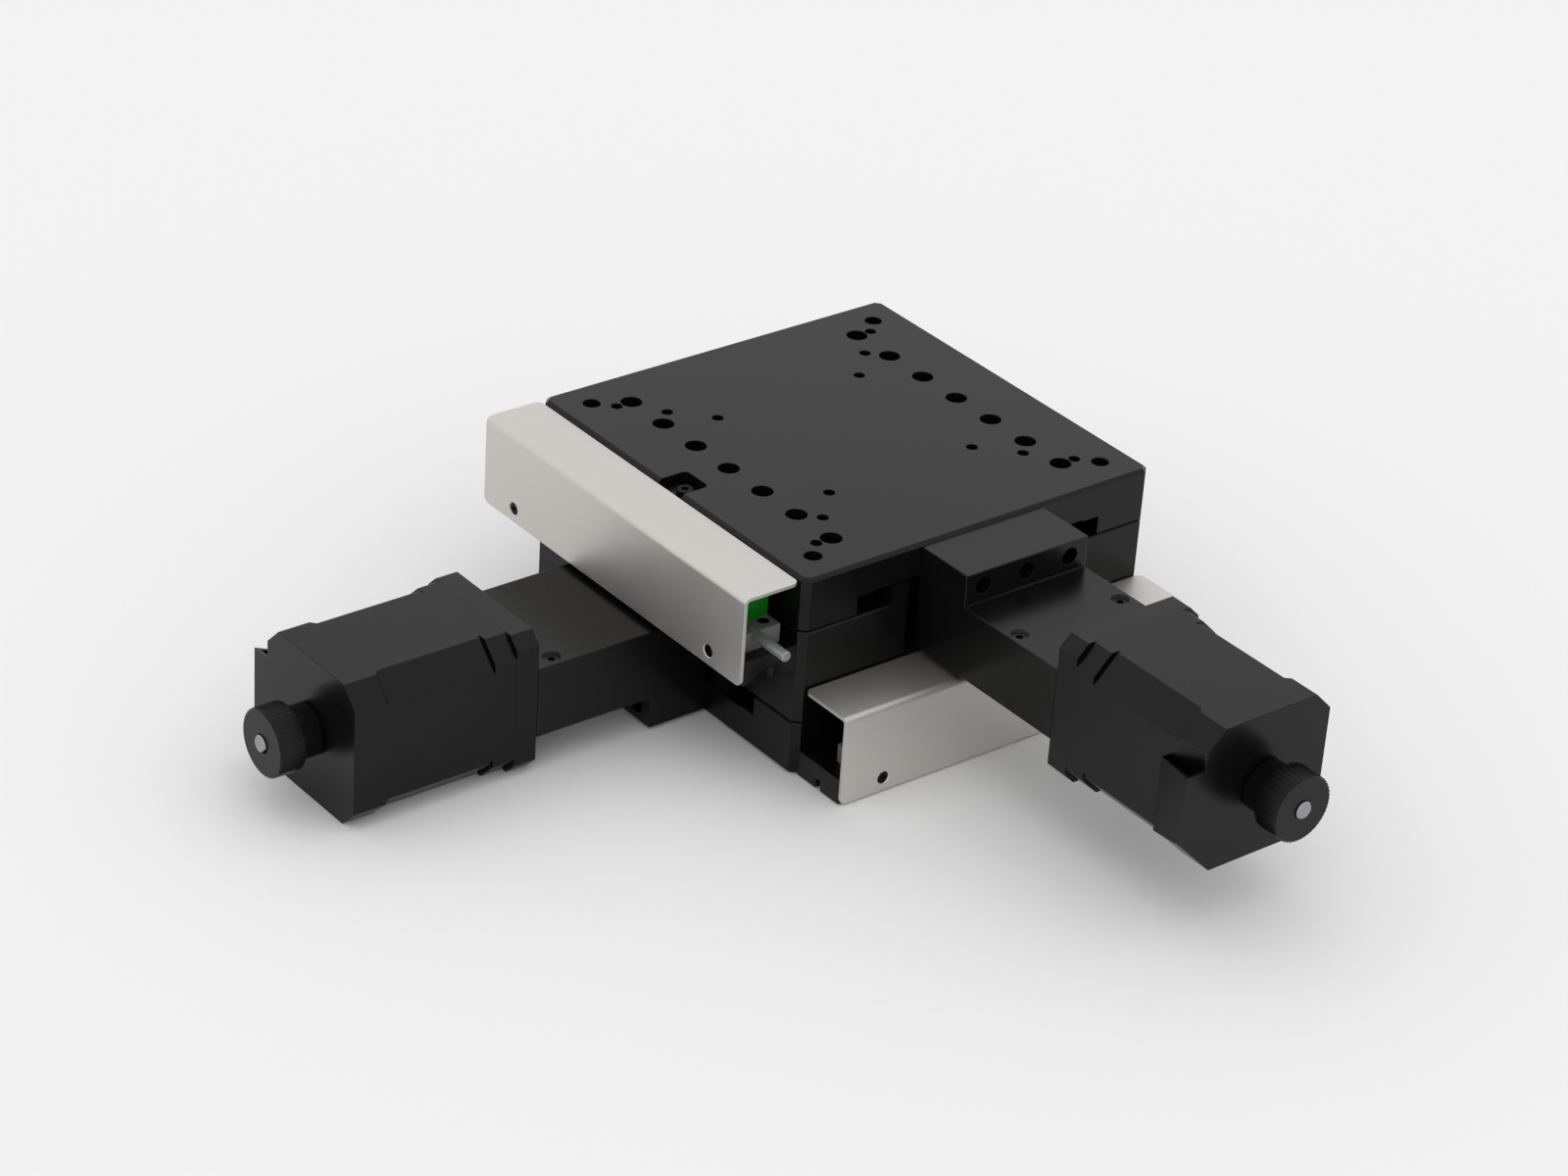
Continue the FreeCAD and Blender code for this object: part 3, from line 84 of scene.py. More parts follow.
# Half a turn about the line X = Y at mid height puts an upper-drive piece onto its lower twin
TURN_OVER = Matrix(((0, 1, 0, 0), (1, 0, 0, 0), (0, 0, -1, TOP), (0, 0, 0, 1)))
# A quarter turn about Z and a step down do the same for the motors, whose connectors keep their heads up
MOTOR_DROP = TOP - 2 * SCREW_Z
TURN_MOTOR = Matrix(((0, 1, 0, 0), (-1, 0, 0, 0), (0, 0, 1, MOTOR_DROP), (0, 0, 0, 1)))
# The sensor covers and their screws are drawn on the lower axis and mirrored up to the upper one
SENSOR_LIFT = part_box("y_sensor_bar")[0].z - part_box("x_sensor_bar")[0].z
TO_UPPER = Matrix(((0, 1, 0, 0), (1, 0, 0, 0), (0, 0, 1, SENSOR_LIFT), (0, 0, 0, 1)))


def linear(hex_colour):
    """Linear RGBA of an sRGB colour such as #808080."""
    values = []
    for index in (1, 3, 5):
        value = int(hex_colour[index:index + 2], 16) / 255
        values.append(value / 12.92 if value <= 0.04045 else ((value + 0.055) / 1.055) ** 2.4)
    return (*values, 1.0)


def length(name, description, default):
    """Length property in metres."""
    return FloatProperty(name=name, description=description, default=default, min=0.0,
                         unit="LENGTH", precision=5)


def colour(name, description, default):
    """Colour property, given as an sRGB colour."""
    return FloatVectorProperty(name=name, description=description, default=linear(default), size=4,
                               subtype="COLOR", min=0.0, max=1.0)


class PlateSizes(bpy.types.PropertyGroup):
    """Sizes of the machined plates and their holes."""
    corner_chamfer: length("Corner chamfer", "Cut on the plates' vertical corners", 2 * MM)
    top_chamfer: length("Outer chamfer", "Cut round the table's top and the base's underside", 1 * MM)
    seam_chamfer: length("Seam chamfer", "Small cut along the seams between the plates", 0.4 * MM)
    m6_pitch: length("M6 pitch", "Distance between the corner holes", 100 * MM)
    m6_tap: length("M6 tap", "Diameter of the M6 holes", 5 * MM)
    m4_tap: length("M4 tap", "Diameter of the M4 holes", 3.3 * MM)
    counterbore: length("Counterbore", "Diameter of the rail screws' counterbores", 6.1 * MM)
    counterbore_depth: length("Counterbore depth", "Depth of the rail screws' counterbores", 7 * MM)
    rail_screw_pitch: length("Rail screw pitch", "Distance between the rail screws", 15 * MM)
    rail_screw_count: IntProperty(name="Rail screws", description="Screws along each rail", default=7, min=1)
    hole_break: length("Hole edge", "Small cut round each hole's mouth", 0.06 * MM)


class DriveSizes(bpy.types.PropertyGroup):
    """Sizes of the motor, bracket and knob details."""
    motor_side: length("Motor side", "Across the motor's flats", 42 * MM)
    plate_chamfer: length("Plate chamfer", "Corner cut of the motor plate", 3.5 * MM)
    cap_chamfer: length("Cap chamfer", "Corner cut of the motor's end caps", 5.4 * MM)
    stator_chamfer: length("Stator chamfer", "Corner cut of the stator", 6.9 * MM)
    front_slit: length("Front slit", "Width of the dark slit behind the motor plate", 0.55 * MM)
    stator_slit: length("Stator slit", "Width of the dark slit at the stator's front", 0.75 * MM)
    wedge: length("Wedge", "Length of the slope from the stator to the rear cap", 1.3 * MM)
    edge: length("Edge", "Rounding of the motor's edges", 0.15 * MM)
    knurl_teeth: IntProperty(name="Knurl teeth", description="Ridges round the knob", default=48, min=8)


class CoverSizes(bpy.types.PropertyGroup):
    """Sizes of the bent sheet covers."""
    sheet: length("Sheet", "Thickness of the cover sheet", 1 * MM)
    bend: length("Bend", "Outer radius of the fold", 1.8 * MM)
    corner: length("Corner", "Radius of the sheet's corners", 2 * MM)
    screw_head: length("Screw head", "Diameter of the cover screws' flat heads", 4.0 * MM)


class FinishColours(bpy.types.PropertyGroup):
    """Colours of the finishes."""
    black_anodised: colour("Black anodised", "Machined plates and brackets", "#0B0B0B")
    # The paler grey of the housing screw holes' walls is painted highlight, in place of the reflection on
    # their far walls
    drilled: colour("Drilled walls", "Walls of the brackets' housing screw holes", "#404040")
    motor_paint: colour("Motor paint", "Motor caps and stator", "#0B0B0B")
    black_oxide: colour("Black oxide", "Rail, cover, post and motor screws", "#060606")
    stainless: colour("Stainless sheet", "Covers", "#D0CDC9")
    ground_steel: colour("Ground steel", "Rollers, lead screws, shafts and the rod", "#9A9A9C")
    rail_steel: colour("Rail steel", "Guide rails", "#242426")
    clear_anodised: colour("Clear anodised", "Sensor posts and couplings", "#656667")
    board: colour("Solder mask", "Circuit boards", "#046A08")
    brass: colour("Brass", "Roller cages", "#B8944A")
    bronze: colour("Bronze", "Drive nuts", "#9A6B3A")


class StudioSettings(bpy.types.PropertyGroup):
    """Camera, floor and lights."""
    azimuth: FloatProperty(name="Azimuth", description="Direction that the camera looks in, from +X",
                           default=math.radians(50.42), unit="ROTATION")
    elevation: FloatProperty(name="Elevation", description="Height of the camera above the horizon",
                             default=math.radians(29.82), unit="ROTATION")
    roll: FloatProperty(name="Roll", description="Turn of the camera about its view",
                        default=0.0703, unit="ROTATION")
    distance: length("Distance", "From the camera to the table's centre, along the view", 1229.5 * MM)
    aim_right: FloatProperty(name="Aim right", description="Sideways place of the camera",
                             default=-13.647 * MM, unit="LENGTH")
    aim_up: FloatProperty(name="Aim up", description="Upward place of the camera",
                          default=-43.978 * MM, unit="LENGTH")
    lens: FloatProperty(name="Lens", description="Focal length in millimetres", default=102.41, unit="CAMERA")
    world: FloatProperty(name="Surroundings", description="Brightness of the white surroundings", default=1.0)
    key: FloatProperty(name="Key light", description="Power of the soft light overhead in watts", default=1.0)
    floor: colour("Floor", "Pale floor under the stage", "#F0F0F0")


# Node trees

def add(tree, kind, settings=None, links=None):
    """Adds a node with its settings and links. A key is a property, an input's name or an input's number."""
    node = tree.nodes.new(kind)
    for key, value in (settings or {}).items():
        if isinstance(key, str) and key in node.bl_rna.properties:
            setattr(node, key, value)
        else:
            node.inputs[key].default_value = value
    for key, socket in (links or {}).items():
        tree.links.new(socket, node.inputs[key])
    return node


# Real grains of these finishes, from blasting, grinding, rolling or moulding, are 0.1 mm wide or less and
# wouldn't show, so every finish draws its grain coarser
# The roughness varies this many times as broadly as the grain, and by this much either way
BROAD_GRAIN = 90
ROUGHNESS_SPREAD = 0.04


def grained(name, tone, metallic, roughness, grain, depth, variation=0.06, gloss=0.5):
    """Material with a fine grain: the grain is its size in metres, the depth its bump height in metres."""
    if name in bpy.data.materials:
        return bpy.data.materials[name]
    material = bpy.data.materials.new(name)
    material.use_nodes = True
    tree = material.node_tree
    tree.nodes.clear()
    place = add(tree, "ShaderNodeTexCoord")
    vector = {"Vector": place.outputs["Object"]}
    fine = add(tree, "ShaderNodeTexNoise", {"Scale": 1 / grain, "Detail": 3.0}, vector)
    broad = add(tree, "ShaderNodeTexNoise", {"Scale": 1 / (grain * BROAD_GRAIN), "Detail": 2.0}, vector)
    dark = [channel * (1 - variation) for channel in tone[:3]] + [1.0]
    light = [min(1.0, channel * (1 + variation)) for channel in tone[:3]] + [1.0]
    mixed = add(tree, "ShaderNodeMix", {"data_type": "RGBA", 6: dark, 7: light}, {0: fine.outputs["Fac"]})
    spread = {"To Min": roughness - ROUGHNESS_SPREAD, "To Max": roughness + ROUGHNESS_SPREAD}
    rough = add(tree, "ShaderNodeMapRange", spread, {"Value": broad.outputs["Fac"]})
    bump = add(tree, "ShaderNodeBump", {"Strength": 0.5, "Distance": depth}, {"Height": fine.outputs["Fac"]})
    shader = add(tree, "ShaderNodeBsdfPrincipled", {"Metallic": metallic, "Specular IOR Level": gloss},
                 {"Base Color": mixed.outputs[2], "Roughness": rough.outputs[0], "Normal": bump.outputs[0]})
    add(tree, "ShaderNodeOutputMaterial", None, {"Surface": shader.outputs[0]})
    return material


def finish(name, tone, **look):
    """Grained material in one of the finish colours."""
    return grained(name, getattr(bpy.context.scene.stage_finishes, tone), **look)


def black_anodised_aluminium():
    """Bead-blasted and dyed black: a dry, even, very dark grey that lifts where light grazes it."""
    return finish("black_anodised_aluminium", "black_anodised", metallic=0.0, roughness=0.27,
                  grain=0.35 * MM, depth=0.008 * MM, gloss=0.215)


def oil_blackened_steel():
    """Oil-blackened steel of the low screw in the flag's pocket: nearly black, without a gleam."""
    return finish("oil_blackened_steel", "motor_paint", metallic=0.0, roughness=0.5,
                  grain=0.2 * MM, depth=0.002 * MM, gloss=0.12)


def drilled_aluminium():
    """Paler grey on the walls of drilled holes: painted highlight, standing in for the reflection that lights
    their far walls.
    """
    return finish("drilled_aluminium", "drilled", metallic=0.0, roughness=0.6,
                  grain=0.3 * MM, depth=0.004 * MM, gloss=0.3)


def matt_motor_paint():
    """Matt paint on laminated steel and cast caps: very dark, a touch duller than the plates."""
    return finish("matt_motor_paint", "motor_paint", metallic=0.0, roughness=0.27,
                  grain=0.5 * MM, depth=0.008 * MM, gloss=0.205)


def moulded_connector_plastic():
    """Glass-filled black plastic of the motor's connector: dull, with hardly any gleam."""
    return finish("moulded_connector_plastic", "motor_paint", metallic=0.0, roughness=0.4,
                  grain=0.4 * MM, depth=0.008 * MM, gloss=0.075)


def black_oxide_steel():
    """Black oxide on alloy screws: near black, with a low gleam."""
    return finish("black_oxide_steel", "black_oxide", metallic=0.0, roughness=0.35,
                  grain=0.3 * MM, depth=0.006 * MM, gloss=0.1)


def black_zinc_steel():
    """Black zinc-plated screws of the brackets: dark grey heads with a soft sheen."""
    return finish("black_zinc_steel", "black_anodised", metallic=0.0, roughness=0.5,
                  grain=0.3 * MM, depth=0.006 * MM, gloss=0.4)


def satin_stainless_sheet():
    """Satin stainless sheet: pale warm grey, metallic but without clear reflections."""
    return finish("satin_stainless_sheet", "stainless", metallic=1.0, roughness=0.5,
                  grain=0.25 * MM, depth=0.003 * MM, variation=0.03)


def ground_bearing_steel():
    """Hardened and ground steel: clean grey with a soft shine."""
    return finish("ground_bearing_steel", "ground_steel", metallic=1.0, roughness=0.28,
                  grain=0.2 * MM, depth=0.002 * MM, variation=0.03)


def black_chromed_rail_steel():
    """Hardened rails with a thin black chrome coat: dark, with a soft metallic shine."""
    return finish("black_chromed_rail_steel", "rail_steel", metallic=1.0, roughness=0.32,
                  grain=0.2 * MM, depth=0.002 * MM, variation=0.03)


def clear_anodised_aluminium():
    """Undyed anodised aluminium: plain grey and slightly chalky."""
    return finish("clear_anodised_aluminium", "clear_anodised", metallic=0.3, roughness=0.5,
                  grain=0.3 * MM, depth=0.004 * MM, variation=0.03)


def drawn_rod_steel():
    """Drawn steel rod: pale and a little dull along its length."""
    return finish("drawn_rod_steel", "ground_steel", metallic=0.8, roughness=0.45,
                  grain=0.2 * MM, depth=0.002 * MM, variation=0.03)


def board_solder_mask():
    """Green lacquer over glass-fibre board: saturated, smooth and a little glossy."""
    return finish("green_solder_mask", "board", metallic=0.0, roughness=0.3,
                  grain=0.8 * MM, depth=0.004 * MM, variation=0.12, gloss=0.25)


def rolled_brass():
    """Bare rolled brass of the roller cages: yellow, with a soft metallic shine."""
    return finish("rolled_brass", "brass", metallic=1.0, roughness=0.32,
                  grain=0.3 * MM, depth=0.002 * MM, variation=0.04)


def turned_bronze():
    """Turned bronze of the drive nuts: brown and metallic, a little duller than the brass."""
    return finish("turned_bronze", "bronze", metallic=1.0, roughness=0.36,
                  grain=0.3 * MM, depth=0.003 * MM, variation=0.04)


def matt_paper(tone):
    """Studio floor of matt paper: pale and even, so that only soft shadows show on it."""
    return grained("matt_paper_floor", tone, metallic=0.0, roughness=0.9,
                   grain=2 * MM, depth=0.002 * MM, variation=0.01)


# Mesh helpers

def object_from(bm, name):
    """Object of a bmesh, with its normals facing out."""
    bmesh.ops.recalc_face_normals(bm, faces=bm.faces)
    mesh = bpy.data.meshes.new(name)
    bm.to_mesh(mesh)
    bm.free()
    made = bpy.data.objects.new(name, mesh)
    bpy.context.scene.collection.objects.link(made)
    return made


def settle(made):
    """Turns an object's modifiers into plain mesh."""
    bpy.context.view_layer.update()
    graph = bpy.context.evaluated_depsgraph_get()
    mesh = bpy.data.meshes.new_from_object(made.evaluated_get(graph))
    made.modifiers.clear()
    old = made.data
    made.data = mesh
    bpy.data.meshes.remove(old)
    return made


def eased(made, width, angle=30):
    """Rounds the sharp edges of a piece a little, as deburring does."""
    bevel = made.modifiers.new("edges", "BEVEL")
    bevel.width = width
    bevel.segments = 2
    bevel.limit_method = "ANGLE"
    bevel.angle_limit = math.radians(angle)
    return settle(made)


def combined(made, tool, operation):
    """Cuts a tool's shape from a piece, or adds it, and removes the tool."""
    work = made.modifiers.new("cut", "BOOLEAN")
    work.operation = operation
    work.solver = "EXACT"
    work.use_self = True
    work.object = tool
    settle(made)
    bpy.data.objects.remove(tool)
    return made


def carved(made, bm):
    """Cuts the shape of a bmesh from a piece."""
    return combined(made, object_from(bm, "tool"), "DIFFERENCE")


def loft(bm, rings, closed=False):
    """Skins rings of equal point counts. An open loft gets a cap at both ends."""
    rows = [[bm.verts.new(point) for point in ring] for ring in rings]
    spans = list(zip(rows, rows[1:]))
    if closed:
        spans.append((rows[-1], rows[0]))
    for near, far in spans:
        for index in range(len(near)):
            after = (index + 1) % len(near)
            bm.faces.new((near[index], near[after], far[after], far[index]))
    if not closed:
        bm.faces.new(reversed(rows[0]))
        bm.faces.new(rows[-1])
    return bm


def circle(centre, direction, radius, count):
    """Points round a circle about a direction along an axis."""
    side = Vector((direction.z, direction.x, direction.y))
    across = direction.cross(side)
    points = []
    for step in range(count):
        angle = 2 * math.pi * step / count
        points.append(centre + side * (radius * math.cos(angle)) + across * (radius * math.sin(angle)))
    return points


def stepped(start, steps):
    """Profile of a stepped bore, from the depth and radius of each step."""
    profile = []
    along = start
    for depth, radius in steps:
        profile += [(along, radius), (depth, radius)]
        along = depth
    return profile


def turned(bm, centre, direction, profile, count=ROUND_SIDES, bored=False):
    """Turned form: the profile lists distance along the direction and radius."""
    rings = [circle(centre + direction * along, direction, radius, count) for along, radius in profile]
    return loft(bm, rings, bored)


def extruded(bm, outline, along):
    """Prism of an outline of points."""
    return loft(bm, [outline, [point + along for point in outline]])


def block(bm, low, high):
    """Box between two corners."""
    outline = [Vector((low[0], low[1], low[2])), Vector((high[0], low[1], low[2])),
               Vector((high[0], high[1], low[2])), Vector((low[0], high[1], low[2]))]
    return extruded(bm, outline, Vector((0, 0, high[2] - low[2])))


def drilled(bm, mouth, direction, radius, depth, edge, count=HOLE_SIDES):
    """Cutter for a blind hole with a small cut round its mouth; the direction runs into the hole."""
    profile = [(-edge, radius + 2 * edge), (edge, radius), (depth, radius)]
    return turned(bm, mouth, direction, profile, count)


def dress(made, name, body, nodes, material):
    """Names a piece, gives it its finish and puts it on its body in place of its CAD nodes."""
    made.name = name
    made.data.name = name
    made.data.materials.clear()
    made.data.materials.append(material)
    made.data.shade_smooth()
    made.data.set_sharp_from_angle(angle=SMOOTH_ANGLE)
    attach(made, body)
    if nodes:
        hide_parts(*nodes)
    return made


def refinish(piece, material, chosen):
    """Gives the faces that a test chooses a finish of their own."""
    mesh = piece.data
    mesh.materials.append(material)
    for face in mesh.polygons:
        if chosen(face):
            face.material_index = len(mesh.materials) - 1


# A bore's walls have normals that rise by less than this, and lie no further from its axis than its
# radius and this margin
WALL_RISE = 0.1
WALL_MARGIN = 0.1 * MM


def paint_bore_highlight(piece, mouths, radius, depth):
    """Paints the walls of upright drilled holes paler, as painted highlight for the reflection on their far
    walls.
    """
    def is_wall(face):
        if abs(face.normal.z) > WALL_RISE:
            return False
        ways = [face.center - mouth for mouth in mouths]
        return any(way.xy.length < radius + WALL_MARGIN and abs(way.z) < depth for way in ways)
    refinish(piece, drilled_aluminium(), is_wall)


def twin(made, matrix):
    """Copy of a piece under a matrix; a mirrored one has its faces turned out again."""
    copy = made.copy()
    copy.data = made.data.copy()
    copy.data.transform(matrix)
    if matrix.determinant() < 0:
        copy.data.flip_normals()
    bpy.context.scene.collection.objects.link(copy)
    return copy


def dress_pair(made, name, bodies, node, material, matrix=TURN_OVER):
    """Dresses an upper-axis piece and its lower twin, and returns both."""
    lower = twin(made, matrix)
    dress(made, "upper_" + name, bodies[0], ["y_" + node], material)
    dress(lower, "lower_" + name, bodies[1], ["x_" + node], material)
    return made, lower


# Repeats by Geometry Nodes

def point_cloud(places, name):
    """Mesh of loose points, each with the direction that its piece aims along."""
    mesh = bpy.data.meshes.new(name)
    mesh.from_pydata([place for place, _ in places], [], [])
    aims = mesh.attributes.new("aim", "FLOAT_VECTOR", "POINT")
    for index, (_, aim) in enumerate(places):
        aims.data[index].vector = aim
    made = bpy.data.objects.new(name, mesh)
    bpy.context.scene.collection.objects.link(made)
    return made


def repeat_tree(name, sockets):
    """Empty tree with geometry in and out, a material and named sizes."""
    tree = bpy.data.node_groups.new(name, "GeometryNodeTree")
    face = tree.interface
    face.new_socket("Geometry", in_out="OUTPUT", socket_type="NodeSocketGeometry")
    face.new_socket("Geometry", in_out="INPUT", socket_type="NodeSocketGeometry")
    face.new_socket("Material", in_out="INPUT", socket_type="NodeSocketMaterial")
    for socket in sockets:
        face.new_socket(socket, in_out="INPUT", socket_type="NodeSocketFloat")
    return tree, add(tree, "NodeGroupInput")


def repeat_end(tree, start, instance):
    """Puts the instance on every point, turned to its aim, as real geometry with its material."""
    aim = add(tree, "GeometryNodeInputNamedAttribute", {"data_type": "FLOAT_VECTOR", "Name": "aim"})
    turn = add(tree, "FunctionNodeAlignRotationToVector", {"axis": "Z"}, {"Vector": aim.outputs["Attribute"]})
    points = add(tree, "GeometryNodeMeshToPoints", None, {"Mesh": start.outputs["Geometry"]})
    placed = add(tree, "GeometryNodeInstanceOnPoints", None,
                 {"Points": points.outputs[0], "Instance": instance, "Rotation": turn.outputs[0]})
    real = add(tree, "GeometryNodeRealizeInstances", None, {"Geometry": placed.outputs[0]})
    painted = add(tree, "GeometryNodeSetMaterial", None,
                  {"Geometry": real.outputs[0], "Material": start.outputs["Material"]})
    add(tree, "NodeGroupOutput", None, {"Geometry": painted.outputs[0]})


def maths(tree, operation, first, second):
    """Result of a maths node on a socket and a second socket or number."""
    if isinstance(second, float):
        return add(tree, "ShaderNodeMath", {"operation": operation, 1: second}, {0: first}).outputs[0]
    return add(tree, "ShaderNodeMath", {"operation": operation}, {0: first, 1: second}).outputs[0]


def moved_up(tree, node, height):
    """Moves a node's mesh along Z by a height socket."""
    place = add(tree, "ShaderNodeCombineXYZ", None, {"Z": height})
    links = {"Geometry": node.outputs[0], "Translation": place.outputs[0]}
    return add(tree, "GeometryNodeTransform", None, links).outputs[0]


# The shank's middle lies a little less than half its length below the seat, so its end is inside the head
SHANK_DROP = -0.499
SOCKET_CUTTER = 10 * MM
HEAD_SIDES = 32
SHANK_SIDES = 20


def socket_screw_tree():
    """Socket head screw: its head stands on the point, with a hexagon socket in it and a shank below."""
    name = "Socket screws"
    if name in bpy.data.node_groups:
        return bpy.data.node_groups[name]
    tree, start = repeat_tree(name, ["Head Diameter", "Head Height", "Socket Width", "Socket Depth",
                                     "Shank Diameter", "Shank Length", "Edge"])
    size = start.outputs
    head_r = maths(tree, "MULTIPLY", size["Head Diameter"], 0.5)
    shank_r = maths(tree, "MULTIPLY", size["Shank Diameter"], 0.5)
    socket_r = maths(tree, "MULTIPLY", size["Socket Width"], 1 / math.sqrt(3))
    straight = maths(tree, "SUBTRACT", size["Head Height"], size["Edge"])
    rim_r = maths(tree, "SUBTRACT", head_r, size["Edge"])
    head = add(tree, "GeometryNodeMeshCylinder", {"Vertices": HEAD_SIDES},
               {"Radius": head_r, "Depth": straight})
    head = moved_up(tree, head, maths(tree, "MULTIPLY", straight, 0.5))
    rim = add(tree, "GeometryNodeMeshCone", {"Vertices": HEAD_SIDES},
              {"Radius Top": rim_r, "Radius Bottom": head_r, "Depth": size["Edge"]})
    rim = moved_up(tree, rim, straight)
    shank = add(tree, "GeometryNodeMeshCylinder", {"Vertices": SHANK_SIDES},
                {"Radius": shank_r, "Depth": size["Shank Length"]})
    shank = moved_up(tree, shank, maths(tree, "MULTIPLY", size["Shank Length"], SHANK_DROP))
    whole = add(tree, "GeometryNodeMeshBoolean", {"operation": "UNION", "solver": "EXACT"})
    for part in (head, rim, shank):
        tree.links.new(part, whole.inputs["Mesh 2"])
    cutter = add(tree, "GeometryNodeMeshCylinder", {"Vertices": 6, "Depth": SOCKET_CUTTER},
                 {"Radius": socket_r})
    floor = maths(tree, "SUBTRACT", size["Head Height"], size["Socket Depth"])
    cutter = moved_up(tree, cutter, maths(tree, "ADD", floor, SOCKET_CUTTER / 2))
    screw = add(tree, "GeometryNodeMeshBoolean", {"operation": "DIFFERENCE", "solver": "EXACT"},
                {"Mesh 1": whole.outputs[0], "Mesh 2": cutter})
    repeat_end(tree, start, screw.outputs[0])
    return tree


def knurl_tree():
    """Ridge on every point, for the knob's straight knurl."""
    name = "Knurl ridges"
    if name in bpy.data.node_groups:
        return bpy.data.node_groups[name]
    tree, start = repeat_tree(name, ["Ridge Size", "Length"])
    ridge = add(tree, "GeometryNodeMeshCylinder", {"Vertices": 4},
                {"Radius": start.outputs["Ridge Size"], "Depth": start.outputs["Length"]})
    repeat_end(tree, start, ridge.outputs[0])
    return tree


def repeated(tree, places, name, material, sizes):
    """Runs a repeat tree on places and returns the plain mesh object."""
    made = point_cloud(places, name)
    modifier = made.modifiers.new("repeat", "NODES")
    modifier.node_group = tree
    for item in tree.interface.items_tree:
        if item.item_type == "SOCKET" and item.in_out == "INPUT":
            if item.name == "Material":
                modifier[item.identifier] = material
            elif item.name in sizes:
                modifier[item.identifier] = sizes[item.name]
    return settle(made)


# Sizes of the screws, by the inputs of their tree
M3 = {"Head Diameter": 5.4 * MM, "Head Height": 3 * MM, "Socket Width": 2.5 * MM, "Socket Depth": 1.4 * MM,
      "Shank Diameter": 2.9 * MM, "Shank Length": 6 * MM, "Edge": 0.25 * MM}
M25 = {"Head Diameter": 4.7 * MM, "Head Height": 2.5 * MM, "Socket Width": 2 * MM, "Socket Depth": 1.2 * MM,
       "Shank Diameter": 2.4 * MM, "Shank Length": 6 * MM, "Edge": 0.2 * MM}
LOW_HEAD = {"Head Height": 1.3 * MM, "Socket Depth": 0.8 * MM}
SHANK_GAP = 0.1 * MM


def screws(places, name, body, nodes, sizes, material=None, **changes):
    """Socket screws on seats, where each place is a seat point and the way that the head stands out."""
    material = material or black_oxide_steel()
    made = repeated(socket_screw_tree(), places, name, material, {**sizes, **changes})
    return dress(made, name, body, nodes, material)


def row(count, pitch):
    """Places of a row, counted from its middle."""
    return [(index - (count - 1) / 2) * pitch for index in range(count)]


def square(pitch):
    """Corners of a square pattern round the stage's axis."""
    return [(x, y) for x in (-pitch / 2, pitch / 2) for y in (-pitch / 2, pitch / 2)]


# Plates

def cut_square(half, corner, inset, z):
    """Square outline with cut corners, drawn in by an inset that keeps the cuts parallel."""
    reach = half - inset
    cut = corner - inset * (2 - math.sqrt(2))
    inner = reach - cut
    outline = [(inner, reach), (-inner, reach), (-reach, inner), (-reach, -inner)]
    outline += [(-inner, -reach), (inner, -reach), (reach, -inner), (reach, inner)]
    return [Vector((x, y, z)) for x, y in outline]


def plate_blank(z0, z1, lower_chamfer, upper_chamfer):
    """Square plate with cut corners and a chamfer round both faces."""
    corner = bpy.context.scene.stage_plates.corner_chamfer
    rings = [cut_square(HALF, corner, lower_chamfer, z0), cut_square(HALF, corner, 0, z0 + lower_chamfer),
             cut_square(HALF, corner, 0, z1 - upper_chamfer), cut_square(HALF, corner, upper_chamfer, z1)]
    return object_from(loft(bmesh.new(), rings), "plate")


# Screws stand in the outer rails, and the rollers run between these and the block's rails
RAIL_SCREW_X = 40 * MM
ROLLER_X = 36 * MM
FACE_GAP = 0.3 * MM
# Extra height of the channel between the rails, and how far its cutter reaches out below the plate
RAIL_RELIEF = 0.4 * MM
CHANNEL_PAST = 2 * MM
M6_DEPTH = 11 * MM
M4_DEPTH = 8 * MM
M4_PITCHES = (90 * MM, 70 * MM, 50 * MM)

FLANGE_SCREW_X = (-15 * MM, 0, 15 * MM)
FLANGE_SCREW_Z = 54.5 * MM
FLANGE_TAP = 2.5 * MM
FLANGE_TAP_DEPTH = 5.3 * MM

FLAG_POCKET_Y = -0.3 * MM
FLAG_POCKET_WIDTH = 10.2 * MM
FLAG_POCKET_LENGTH = 9.3 * MM
FLAG_POCKET_DEPTH = 3.5 * MM
FLAG_POCKET_CORNER = 1.6 * MM
FLAG_SHEET = 0.8 * MM
FLAG_SCREW_INSET = 4.6 * MM
FLAG_SCREW_Y = -1 * MM

# The block's raised land lies inside the rollers, and its drive pocket takes in the bracket at the limit
LAND_INSET = 6 * MM
LAND_EDGE = 0.3 * MM
DRIVE_POCKET_HALF = 24.5 * MM
DRIVE_POCKET_FLOOR = 28 * MM
DRIVE_POCKET_END = -44.4 * MM
# Depth and radius of the nut's flange seat, its body's bore and the lead screw's bore
NUT_BORES = ((4 * MM, 11.2 * MM), (22.2 * MM, 6.7 * MM), (58.4 * MM, 4.5 * MM))


